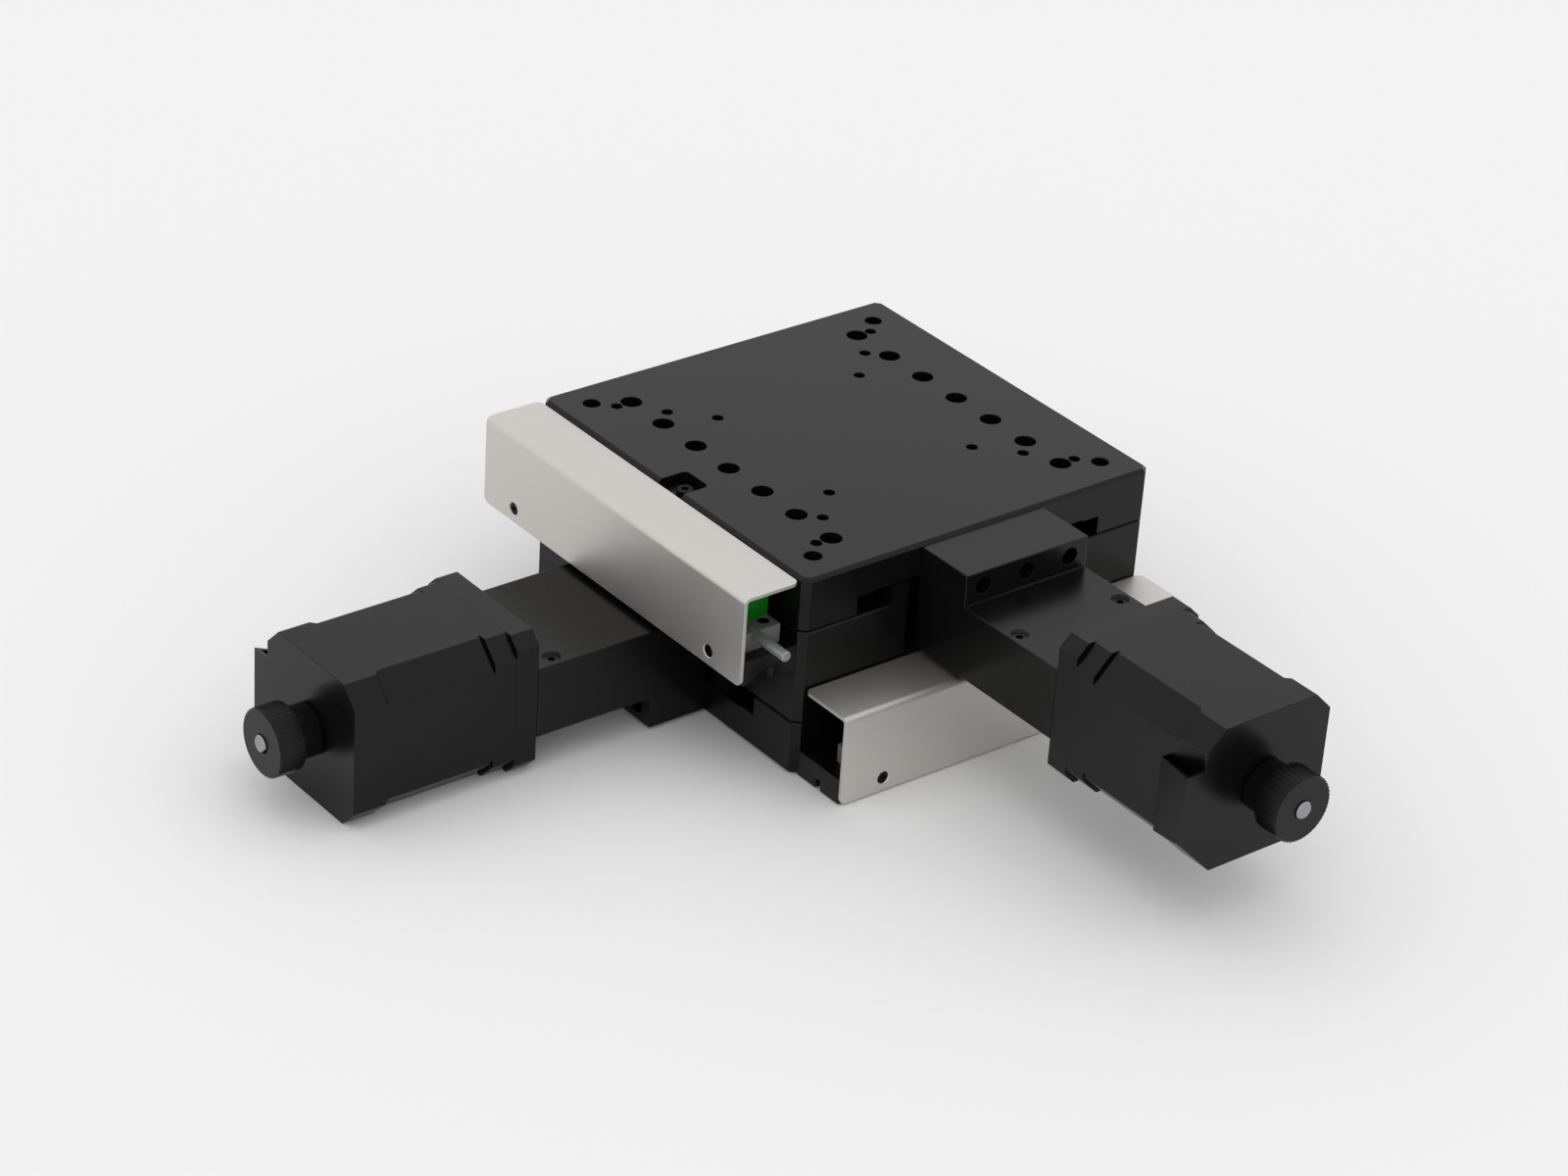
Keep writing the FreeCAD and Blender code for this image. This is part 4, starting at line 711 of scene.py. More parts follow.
def guided_plate_cutters(bm):
    """Channel, rail screw holes, corner holes and flange holes that the table and the base share."""
    sizes = bpy.context.scene.stage_plates
    reach = HALF + PAST
    floor = RAIL_LOW.z - CHANNEL_PAST
    block(bm, (-RAIL_HIGH.x, -reach, floor), (RAIL_HIGH.x, reach, RAIL_HIGH.z))
    relief_x = ROLLER_X + FACE_GAP
    block(bm, (-relief_x, -reach, floor), (relief_x, reach, RAIL_HIGH.z + RAIL_RELIEF))
    for side in (-1, 1):
        for y in row(sizes.rail_screw_count, sizes.rail_screw_pitch):
            mouth = Vector((side * RAIL_SCREW_X, y, TOP))
            drilled(bm, mouth, -Z_DIR, sizes.counterbore / 2, sizes.counterbore_depth, sizes.hole_break,
                    ROUND_SIDES)
    for x, y in square(sizes.m6_pitch):
        mouth = Vector((x, y, TOP))
        drilled(bm, mouth, -Z_DIR, sizes.m6_tap / 2, M6_DEPTH, 2 * sizes.hole_break, ROUND_SIDES)
    for x in FLANGE_SCREW_X:
        mouth = Vector((x, -HALF, FLANGE_SCREW_Z))
        drilled(bm, mouth, Y_DIR, FLANGE_TAP / 2, FLANGE_TAP_DEPTH, sizes.hole_break, SMALL_SIDES)


class STAGE_OT_plates(bpy.types.Operator):
    """Builds the table, the middle block and the base plate"""
    bl_idname = "xy_stage.plates"
    bl_label = "Plates"

    def execute(self, context):
        sizes = context.scene.stage_plates
        material = black_anodised_aluminium()
        base = plate_blank(TABLE_LOW.z, TOP, sizes.seam_chamfer, sizes.top_chamfer)
        table = twin(base, Matrix.Identity(4))
        cutters = bmesh.new()
        guided_plate_cutters(cutters)
        carved(base, cutters)
        base.data.transform(TURN_OVER)
        dress(base, "base_plate_machined", "base", ["base_plate"], material)
        cutters = bmesh.new()
        guided_plate_cutters(cutters)
        for pitch in M4_PITCHES:
            for x, y in square(pitch):
                mouth = Vector((x, y, TOP))
                drilled(cutters, mouth, -Z_DIR, sizes.m4_tap / 2, M4_DEPTH, 1.4 * sizes.hole_break)
        self.flag_pocket(cutters)
        carved(table, cutters)
        dress(table, "table_plate_machined", "table", ["table_plate"], material)
        self.middle(sizes, material)
        return {"FINISHED"}

    def flag_pocket(self, bm):
        """Pocket in the table's edge for the sensor flag, with rounded inner corners."""
        centre, half, corner = FLAG_POCKET_Y, FLAG_POCKET_WIDTH / 2, FLAG_POCKET_CORNER
        end = -HALF + FLAG_POCKET_LENGTH
        outline = [(-HALF - PAST, centre - half)]
        for side, first in ((-1, -90), (1, 0)):
            for step in range(ARC_STEPS + 1):
                angle = math.radians(first + 90 * step / ARC_STEPS)
                x = end - corner + corner * math.cos(angle)
                y = centre + side * (half - corner) + corner * math.sin(angle)
                outline.append((x, y))
        outline.append((-HALF - PAST, centre + half))
        points = [Vector((x, y, TOP - FLAG_POCKET_DEPTH)) for x, y in outline]
        extruded(bm, points, Vector((0, 0, FLAG_POCKET_DEPTH + PAST)))

    def middle(self, sizes, material):
        """Block with its raised lands, drive pockets, nut seats and screw bores."""
        step = TABLE_LOW.z - RAIL_LOW.z
        z0, z1 = TOP - TABLE_LOW.z + 2 * step, RAIL_LOW.z - step
        middle = plate_blank(z0, z1, sizes.seam_chamfer, sizes.seam_chamfer)
        land_x = ROLLER_X - LAND_INSET
        shoulder = BLOCK_TOP - LAND_EDGE
        foot = z1 - PAST
        lands = bmesh.new()
        for matrix in (Matrix.Identity(4), TURN_OVER):
            outline = [(-land_x, foot), (land_x, foot), (land_x, shoulder), (land_x - LAND_EDGE, BLOCK_TOP),
                       (-land_x + LAND_EDGE, BLOCK_TOP), (-land_x, shoulder)]
            points = [matrix @ Vector((x, -HALF, z)) for x, z in outline]
            extruded(lands, points, matrix.to_3x3() @ Vector((0, 2 * HALF, 0)))
            seat_x = ROLLER_X - FACE_GAP
            low = matrix @ Vector((-seat_x, RAIL_LOW.y, foot))
            high = matrix @ Vector((seat_x, RAIL_HIGH.y, RAIL_LOW.z))
            block(lands, [min(pair) for pair in zip(low, high)], [max(pair) for pair in zip(low, high)])
        combined(middle, object_from(lands, "tool"), "UNION")
        cutters = bmesh.new()
        for matrix in (Matrix.Identity(4), TURN_OVER):
            part = bmesh.new()
            block(part, (-DRIVE_POCKET_HALF, -HALF - PAST, DRIVE_POCKET_FLOOR),
                  (DRIVE_POCKET_HALF, DRIVE_POCKET_END, TOP))
            seat = Vector((0, DRIVE_POCKET_END, SCREW_Z))
            turned(part, seat, Y_DIR, stepped(-0.1 * PAST, NUT_BORES), BORE_SIDES)
            bmesh.ops.transform(part, matrix=matrix, verts=part.verts)
            mesh = bpy.data.meshes.new("part")
            part.to_mesh(mesh)
            part.free()
            cutters.from_mesh(mesh)
            bpy.data.meshes.remove(mesh)
        carved(middle, cutters)
        dress(middle, "middle_block_machined", "carriage", ["middle_block"], material)


# Bracket and drive

FLANGE_FACE = -HALF - 18.7 * MM
FLANGE_COUNTERBORE = 11 * MM
BRACKET_HOLE = 5 * MM
BRACKET_HOLE_EDGE = 0.06 * MM
BRACKET_EDGE = 0.3 * MM
HOUSING_TOP = 49.7 * MM
HOUSING_SEAT = 3.4 * MM
# Places across and along the drive of the screws in the housing's top and underside
HOUSING_SCREWS_TOP = [(side * 17.4 * MM, -97.0 * MM) for side in (-1, 1)]
HOUSING_SCREWS_LOW = [(side * 17.0 * MM, -109.2 * MM) for side in (-1, 1)]
# Depth and radius of the bearing cap's recess, the bearings' bore, the neck and the coupling's chamber
HOUSING_BORES = ((4 * MM, 9.05 * MM), (12 * MM, 6.5 * MM), (18.7 * MM, 5.25 * MM), (57 * MM, 8.5 * MM))


def bracket_outline():
    """Side view of the bracket: a high flange at the stage and the lower housing up to the motor."""
    low, high = BRACKET_LOW, BRACKET_HIGH
    outline = [(high.y, low.z), (low.y, low.z), (low.y, HOUSING_TOP), (FLANGE_FACE, HOUSING_TOP),
               (FLANGE_FACE, high.z), (high.y, high.z)]
    return [Vector((low.x, y, z)) for y, z in outline]


class STAGE_OT_brackets(bpy.types.Operator):
    """Builds the motor brackets with their counterbored screw holes"""
    bl_idname = "xy_stage.brackets"
    bl_label = "Motor brackets"

    def execute(self, context):
        bm = extruded(bmesh.new(), bracket_outline(), Vector((BRACKET_HIGH.x - BRACKET_LOW.x, 0, 0)))
        bracket = eased(object_from(bm, "bracket"), BRACKET_EDGE)
        radius, edge = BRACKET_HOLE / 2, BRACKET_HOLE_EDGE
        cutters = bmesh.new()
        for x in FLANGE_SCREW_X:
            mouth = Vector((x, FLANGE_FACE, FLANGE_SCREW_Z))
            drilled(cutters, mouth, Y_DIR, radius, FLANGE_COUNTERBORE, edge, ROUND_SIDES)
        top = [Vector((x, y, HOUSING_TOP)) for x, y in HOUSING_SCREWS_TOP]
        low = [Vector((x, y, BRACKET_LOW.z)) for x, y in HOUSING_SCREWS_LOW]
        for mouths, direction in ((top, -Z_DIR), (low, Z_DIR)):
            for mouth in mouths:
                drilled(cutters, mouth, direction, radius, HOUSING_SEAT, edge, ROUND_SIDES)
        turned(cutters, Vector((0, -HALF, SCREW_Z)), -Y_DIR, stepped(-PAST, HOUSING_BORES), BORE_SIDES)
        carved(bracket, cutters)
        upper, lower = dress_pair(bracket, "bracket_machined", ("table", "base"), "motor_bracket",
                                  black_anodised_aluminium())
        # Painted highlight: the walls of the housing screw holes get a paler grey
        paint_bore_highlight(upper, top, radius, HOUSING_SEAT)
        paint_bore_highlight(lower, [TURN_OVER @ mouth for mouth in low], radius, HOUSING_SEAT)
        return {"FINISHED"}


def octagon(y, chamfer, inset=0.0):
    """Motor outline across its axis: a square with cut corners, each eased by a short flat."""
    sizes = bpy.context.scene.stage_drive
    half = sizes.motor_side / 2 - inset
    inner = sizes.motor_side / 2 - chamfer - inset * (math.sqrt(2) - 1)
    ease = sizes.edge
    slant = ease / math.sqrt(2)
    quarter = [(inner - ease, half), (inner + slant, half - slant),
               (half - slant, inner + slant), (half, inner - ease)]
    outline = []
    for turns in range(4):
        cos, sin = math.cos(-math.pi / 2 * turns), math.sin(-math.pi / 2 * turns)
        outline += [(x * cos - z * sin, x * sin + z * cos) for x, z in quarter]
    return [Vector((x, y, SCREW_Z + z)) for x, z in outline]


# Heights count from the motor's axis
CONNECTOR_FRONT_TOP = 6.5 * MM
CONNECTOR_REAR_TOP = 10.4 * MM
CONNECTOR_REACH = 6.2 * MM
CONNECTOR_WALL = 1 * MM
CONNECTOR_FLOOR = -4 * MM
CONNECTOR_SLOPE_LENGTH = 10 * MM
CONNECTOR_RECESS_TOP = 14.8 * MM
CONNECTOR_RECESS_DEPTH = 1.6 * MM
# How far the hood is sunk in the motor's side
CONNECTOR_ROOT = 0.3 * MM
# A face faces a way when its normal agrees with it by more than this cosine
FACING = 0.99
FRONT_SLIT_DEPTH = 0.5 * MM
STATOR_SLIT_DEPTH = 0.9 * MM


def connector_recess(front, rear):
    """Cutter's bmesh for the flat recess in the motor's side behind the connector's hood."""
    side = -bpy.context.scene.stage_drive.motor_side / 2
    wall = rear + CONNECTOR_WALL
    outline = [(front, CONNECTOR_FRONT_TOP), (front - CONNECTOR_SLOPE_LENGTH, CONNECTOR_RECESS_TOP)]
    outline += [(wall, CONNECTOR_RECESS_TOP), (wall, CONNECTOR_FLOOR), (front, CONNECTOR_FLOOR)]
    points = [Vector((side - PAST, y, SCREW_Z + z)) for y, z in outline]
    return extruded(bmesh.new(), points, Vector((PAST + CONNECTOR_RECESS_DEPTH, 0, 0)))


def connector_hood(front, rear):
    """Wedge-shaped hood with an open sloping top, cut back at 45 degrees underneath."""
    sizes = bpy.context.scene.stage_drive
    side = -sizes.motor_side / 2
    sunk = side + CONNECTOR_ROOT
    far = side - CONNECTOR_REACH
    low = SCREW_Z - sizes.motor_side / 2 + sizes.cap_chamfer
    foot = low - PAST
    front_top, rear_top = SCREW_Z + CONNECTOR_FRONT_TOP, SCREW_Z + CONNECTOR_REAR_TOP
    outline = [Vector((sunk, front, low)), Vector((sunk, front, front_top)),
               Vector((sunk, rear, rear_top)), Vector((sunk, rear, low))]
    hood = object_from(extruded(bmesh.new(), outline, Vector((far - sunk, 0, 0))), "hood")
    slant = [Vector((side, front, foot)), Vector((side, front + PAST, foot)),
             Vector((far - PAST, front + PAST, foot)), Vector((far - PAST, rear, foot)),
             Vector((far, rear, foot))]
    carved(hood, extruded(bmesh.new(), slant, Vector((0, 0, sizes.motor_side))))
    under = [Vector((side, front + PAST, foot)), Vector((side, front + PAST, low)),
             Vector((far, front + PAST, low + CONNECTOR_REACH)), Vector((far - PAST, front + PAST, foot))]
    carved(hood, extruded(bmesh.new(), under, Vector((0, rear - front - 3 * PAST, 0))))
    slope = CONNECTOR_REACH / (front - rear)
    floor = SCREW_Z + CONNECTOR_FLOOR
    inside_front, wall = front - CONNECTOR_WALL / slope, rear + CONNECTOR_WALL
    reach = slope * (inside_front - wall)
    inside = [Vector((sunk + PAST, inside_front, floor)), Vector((side, inside_front, floor)),
              Vector((side - reach, wall, floor)), Vector((sunk + PAST, wall, floor))]
    carved(hood, extruded(bmesh.new(), inside, Vector((0, 0, sizes.motor_side))))
    return hood


class STAGE_OT_motors(bpy.types.Operator):
    """Builds the motor plates, caps, stators and connectors"""
    bl_idname = "xy_stage.motors"
    bl_label = "Motors"

    def execute(self, context):
        sizes = context.scene.stage_drive
        anodised, paint = black_anodised_aluminium(), matt_motor_paint()
        sides = ("table", "base")
        plate_low, plate_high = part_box("y_motor_plate")
        stator_low, stator_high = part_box("y_motor_stator")
        rear_low, rear_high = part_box("y_motor_rear_cap")
        cut, cap_cut, deep = sizes.plate_chamfer, sizes.cap_chamfer, sizes.stator_chamfer
        edge = sizes.edge
        plate = self.piece([(plate_high.y, cut, edge), (plate_high.y - edge, cut, 0),
                            (plate_low.y + edge / 2, cut, 0), (plate_low.y, cut, edge / 2)])
        dress_pair(plate, "motor_plate_machined", sides, "motor_plate", anodised,
                   TURN_MOTOR)
        cap = self.piece(self.slit(plate_low.y, cap_cut, sizes.front_slit, FRONT_SLIT_DEPTH)
                         + [(stator_high.y, cap_cut, 0)])
        dress_pair(cap, "motor_front_cap_cast", sides, "motor_front_cap", paint, TURN_MOTOR)
        stator = self.piece(self.slit(stator_high.y, deep, sizes.stator_slit, STATOR_SLIT_DEPTH)
                            + [(stator_low.y, deep, 0)])
        carved(stator, connector_recess(rear_high.y, rear_low.y))
        dress_pair(stator, "motor_stator_stack", sides, "motor_stator", paint, TURN_MOTOR)
        cap = self.piece([(stator_low.y, deep, 0), (stator_low.y - sizes.wedge, cap_cut, 0),
                          (rear_low.y + edge, cap_cut, 0), (rear_low.y, cap_cut, edge)])
        carved(cap, connector_recess(rear_high.y, rear_low.y))
        combined(cap, connector_hood(rear_high.y, rear_low.y), "UNION")
        upper, lower = dress_pair(cap, "motor_rear_cap_cast", sides, "motor_rear_cap", paint,
                                  TURN_MOTOR)
        slant = Vector((rear_low.y - rear_high.y, CONNECTOR_REACH, 0)).normalized()
        plastic = moulded_connector_plastic()
        for made, facing in ((upper, slant), (lower, TURN_MOTOR.to_3x3() @ slant)):
            refinish(made, plastic, lambda face: face.normal.dot(facing) > FACING)
        return {"FINISHED"}

    def piece(self, steps):
        """Motor piece through outlines, each given by its place, corner cut and inset."""
        return object_from(loft(bmesh.new(), [octagon(*step) for step in steps]), "motor piece")

    def slit(self, y, chamfer, width, depth):
        """Outlines of a dark slit at a piece's front, cut deeper into its corners."""
        return [(y, chamfer + depth, 0), (y - width, chamfer + depth, 0), (y - width, chamfer, 0)]


KNOB_HUB_RADIUS = 7.3 * MM
KNURLED_LENGTH = 7.8 * MM
KNURL_HEIGHT = 0.35 * MM
KNOB_EDGE = 0.3 * MM
SHAFT_RADIUS = 2.5 * MM
SHAFT_CHAMFER = 0.4 * MM
# Distance of the shaft's flat from the axis
SHAFT_FLAT = 2 * MM
SHAFT_FLAT_LENGTH = 13 * MM
SHAFT_FLAT_TURN = math.radians(135)
SHAFT_FLAT_CUTTER = 10 * MM
ROTOR_RADIUS = 13 * MM
ROTOR_CORE = 28 * MM


class STAGE_OT_knobs(bpy.types.Operator):
    """Builds the knurled knobs and the motor shafts"""
    bl_idname = "xy_stage.knobs"
    bl_label = "Knobs and shafts"

    def execute(self, context):
        sizes = context.scene.stage_drive
        low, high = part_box("y_knob")
        radius = (high.x - low.x) / 2
        start, rim, end = high.y, low.y + KNURLED_LENGTH, low.y
        hub_r, barrel, bore, edge = KNOB_HUB_RADIUS, radius - KNURL_HEIGHT, SHAFT_RADIUS, KNOB_EDGE
        centre = Vector((0, 0, SCREW_Z))
        profile = [(-start, bore), (-start, hub_r - edge), (-start + edge, hub_r), (-rim, hub_r),
                   (-rim, barrel - edge), (-rim + edge, barrel), (-end - edge, barrel), (-end, barrel - edge),
                   (-end, bore + edge), (-end - edge, bore)]
        knob = object_from(turned(bmesh.new(), centre, -Y_DIR, profile, KNOB_SIDES, True), "knob")
        size = math.pi * radius / sizes.knurl_teeth
        places = []
        for step in range(sizes.knurl_teeth):
            angle = 2 * math.pi * step / sizes.knurl_teeth
            out = Vector((math.cos(angle), 0, math.sin(angle)))
            places.append((centre + out * (radius - size) + Y_DIR * (rim + end) / 2, Y_DIR))
        ridges = repeated(knurl_tree(), places, "ridges", black_anodised_aluminium(),
                          {"Ridge Size": size, "Length": KNURLED_LENGTH - 2 * edge})
        merged = bmesh.new()
        merged.from_mesh(knob.data)
        merged.from_mesh(ridges.data)
        merged.to_mesh(knob.data)
        merged.free()
        bpy.data.objects.remove(ridges)
        dress_pair(knob, "knob_knurled", ("y_screw", "x_screw"), "knob", black_anodised_aluminium(),
                   TURN_MOTOR)
        low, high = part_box("y_motor_rotor")
        stator_low, stator_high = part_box("y_motor_stator")
        middle = -(stator_low.y + stator_high.y) / 2
        core_start, core_end = middle - ROTOR_CORE / 2, middle + ROTOR_CORE / 2
        profile = [(-high.y, SHAFT_RADIUS - SHAFT_CHAMFER), (-high.y + SHAFT_CHAMFER, SHAFT_RADIUS),
                   (core_start, SHAFT_RADIUS), (core_start, ROTOR_RADIUS), (core_end, ROTOR_RADIUS),
                   (core_end, SHAFT_RADIUS), (-low.y - SHAFT_CHAMFER, SHAFT_RADIUS),
                   (-low.y, SHAFT_RADIUS - SHAFT_CHAMFER)]
        rotor = object_from(turned(bmesh.new(), centre, -Y_DIR, profile, BORE_SIDES), "rotor")
        flat = bmesh.new()
        wide = SHAFT_FLAT_CUTTER
        block(flat, (-wide, low.y - PAST, SCREW_Z + SHAFT_FLAT),
              (wide, low.y + SHAFT_FLAT_LENGTH, SCREW_Z + wide))
        turn = Matrix.Rotation(SHAFT_FLAT_TURN, 4, "Y")
        turn = Matrix.Translation(centre) @ turn @ Matrix.Translation(-centre)
        bmesh.ops.transform(flat, matrix=turn, verts=flat.verts)
        carved(rotor, flat)
        dress_pair(rotor, "motor_shaft_ground", ("y_screw", "x_screw"), "motor_rotor", ground_bearing_steel(),
                   TURN_MOTOR)
        return {"FINISHED"}


# Sensors, and covers drawn on the lower axis

# Places nearer than this, in metres, count as one
SAME_PLACE = 1e-7
COVER_EDGE = 0.08 * MM
HEAD_CONE = 0.9 * MM
COVER_HEAD_SINK = 0.2 * MM
COVER_HEAD_GAP = 0.06 * MM
COVER_SCREW_LENGTH = 4.8 * MM
COVER_SOCKET_RADIUS = 0.75 * MM
COVER_SOCKET_DEPTH = 0.6 * MM


def cover_outline(x):
    """Cross-section of the bent sheet: wall, rounded fold and top."""
    sizes = bpy.context.scene.stage_cover
    low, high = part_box("x_sensor_cover")
    sheet, bend = sizes.sheet, sizes.bend
    centre = Vector((0, low.y + bend, high.z - bend))
    outer = [(low.y, low.z)]
    inner = []
    for step in range(ARC_STEPS + 1):
        angle = math.radians(180 - 90 * step / ARC_STEPS)
        for radius, points in ((bend, outer), (bend - sheet, inner)):
            points.append((centre.y + radius * math.cos(angle), centre.z + radius * math.sin(angle)))
    outline = outer + [(high.y, high.z), (high.y, high.z - sheet)] + inner[::-1] + [(low.y + sheet, low.z)]
    return [Vector((x, y, z)) for y, z in outline]


def cover_screw_places():
    """Points on the lower cover's outer face."""
    low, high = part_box("x_cover_screws")
    half = (high.z - low.z) / 2
    z = (low.z + high.z) / 2
    return [Vector((x, low.y, z)) for x in (low.x + half, high.x - half)]


def countersunk(bm, place, radius, depth):
    """Cone under a flat head and the shank behind it, running in from the face."""
    neck = radius - HEAD_CONE
    profile = [(0, radius), (HEAD_CONE, neck), (depth, neck)]
    return turned(bm, place, Y_DIR, profile)


class STAGE_OT_covers(bpy.types.Operator):
    """Builds the bent sheet covers"""
    bl_idname = "xy_stage.covers"
    bl_label = "Sheet covers"

    def execute(self, context):
        sizes = context.scene.stage_cover
        low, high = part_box("x_sensor_cover")
        bm = extruded(bmesh.new(), cover_outline(low.x), Vector((high.x - low.x, 0, 0)))
        corners = [edge for edge in bm.edges if self.is_corner(edge, low, high)]
        bmesh.ops.bevel(bm, geom=corners, offset=sizes.corner, segments=ARC_STEPS, profile=0.5,
                        affect="EDGES")
        cover = eased(object_from(bm, "cover"), COVER_EDGE, 50)
        cutters = bmesh.new()
        for place in cover_screw_places():
            countersunk(cutters, place, sizes.screw_head / 2, sizes.sheet + PAST)
        carved(cover, cutters)
        upper = twin(cover, TO_UPPER)
        steel = satin_stainless_sheet()
        dress(cover, "lower_cover_sheet", "base", ["x_sensor_cover"], steel)
        dress(upper, "upper_cover_sheet", "carriage", ["y_sensor_cover"], steel)
        return {"FINISHED"}

    def is_corner(self, edge, low, high):
        """Whether an edge runs through the sheet at one of its four free corners."""
        a, b = (vert.co for vert in edge.verts)

        def at(axis, level):
            return abs(a[axis] - level) < SAME_PLACE and abs(b[axis] - level) < SAME_PLACE
        return (at(0, low.x) or at(0, high.x)) and (at(2, low.z) or at(1, high.y))


# Points this near are merged, and faces that meet at less than this angle become one
MERGE_REACH = 1e-6
FLAT_ANGLE = math.radians(1)
BAR_EDGE = 0.25 * MM
POST_EDGE = 0.15 * MM
BOARD_EDGE = 0.08 * MM
SENSOR_EDGE = 0.2 * MM
FLAG_EDGE = 0.1 * MM
ROD_EDGE = 0.3 * MM
POST_HOLE = 3.5 * MM
LOWER_POST_LENGTH = 10 * MM
UPPER_POST_LENGTH = 5.5 * MM
POST_HOLE_DEPTH = 5.2 * MM
POST_HOLE_EDGE = 0.08 * MM
POST_HOLE_SETBACK = 3.7 * MM
POST_HOLE_SIDE = 2.8 * MM
POST_SCREW_SINK = 0.1 * MM


def post_hole_places():
    """Mouths of the round holes in the tops of the posts, by axis."""
    low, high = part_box("x_sensor_posts")
    places = {"x": [], "y": []}
    y = high.y - POST_HOLE_SIDE
    for x in (low.x + POST_HOLE_SETBACK, high.x - LOWER_POST_LENGTH + POST_HOLE_SETBACK):
        places["x"].append(Vector((x, y, high.z)))
    low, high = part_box("y_sensor_posts")
    x = high.x - POST_HOLE_SIDE
    for y in (low.y + POST_HOLE_SETBACK, high.y - UPPER_POST_LENGTH + POST_HOLE_SETBACK):
        places["y"].append(Vector((x, y, high.z)))
    return places


def softened(node, name, body, material, width, holes=()):
    """Copy of a CAD node with its triangles merged into faces, its edges rounded and round holes drilled."""
    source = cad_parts[node]
    bm = bmesh.new()
    bm.from_mesh(source.data)
    bmesh.ops.remove_doubles(bm, verts=bm.verts, dist=MERGE_REACH)
    bmesh.ops.dissolve_limit(bm, angle_limit=FLAT_ANGLE, verts=bm.verts, edges=bm.edges)
    made = object_from(bm, name)
    eased(made, width)
    if holes:
        cutters = bmesh.new()
        for place in holes:
            drilled(cutters, place, -Z_DIR, POST_HOLE / 2, POST_HOLE_DEPTH, POST_HOLE_EDGE)
        carved(made, cutters)
    return dress(made, name, body, [node], material)


class STAGE_OT_sensors(bpy.types.Operator):
    """Builds the sensor bars, posts, boards, light barriers, flags and the rod"""
    bl_idname = "xy_stage.sensors"
    bl_label = "Sensors"

    def execute(self, context):
        black, silver = black_anodised_aluminium(), clear_anodised_aluminium()
        board, sensor = board_solder_mask(), matt_motor_paint()
        holes = post_hole_places()
        drop = Z_DIR * (POST_SCREW_SINK + M25["Head Height"])
        narrow = {"Head Diameter": POST_HOLE - SHANK_GAP}
        for axis, body in (("x", "base"), ("y", "carriage")):
            softened(axis + "_sensor_bar", axis + "_bar_machined", body, black, BAR_EDGE)
            softened(axis + "_sensor_posts", axis + "_posts_machined", body, silver, POST_EDGE,
                     holes[axis])
            seats = [(place - drop, Z_DIR) for place in holes[axis]]
            screws(seats, axis + "_post_screws", body, [], M25, **narrow)
            softened(axis + "_sensor_board", axis + "_board_routed", body, board, BOARD_EDGE)
            softened(axis + "_limit_sensors", axis + "_light_barriers", body, sensor,
                     SENSOR_EDGE)
        softened("x_sensor_flag", "lower_flag_bent", "carriage", black, FLAG_EDGE)
        softened("y_sensor_flag", "upper_flag_bent", "table", black, FLAG_EDGE)
        low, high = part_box("y_sensor_rod")
        radius, span, edge = (high.x - low.x) / 2, high.y - low.y, ROD_EDGE
        centre = Vector((low.x + radius, low.y, low.z + radius))
        profile = [(0, radius - edge), (edge, radius), (span - edge, radius), (span, radius - edge)]
        pin = object_from(turned(bmesh.new(), centre, Y_DIR, profile), "pin")
        dress(pin, "upper_rod_ground", "carriage", ["y_sensor_rod"], drawn_rod_steel())
        return {"FINISHED"}


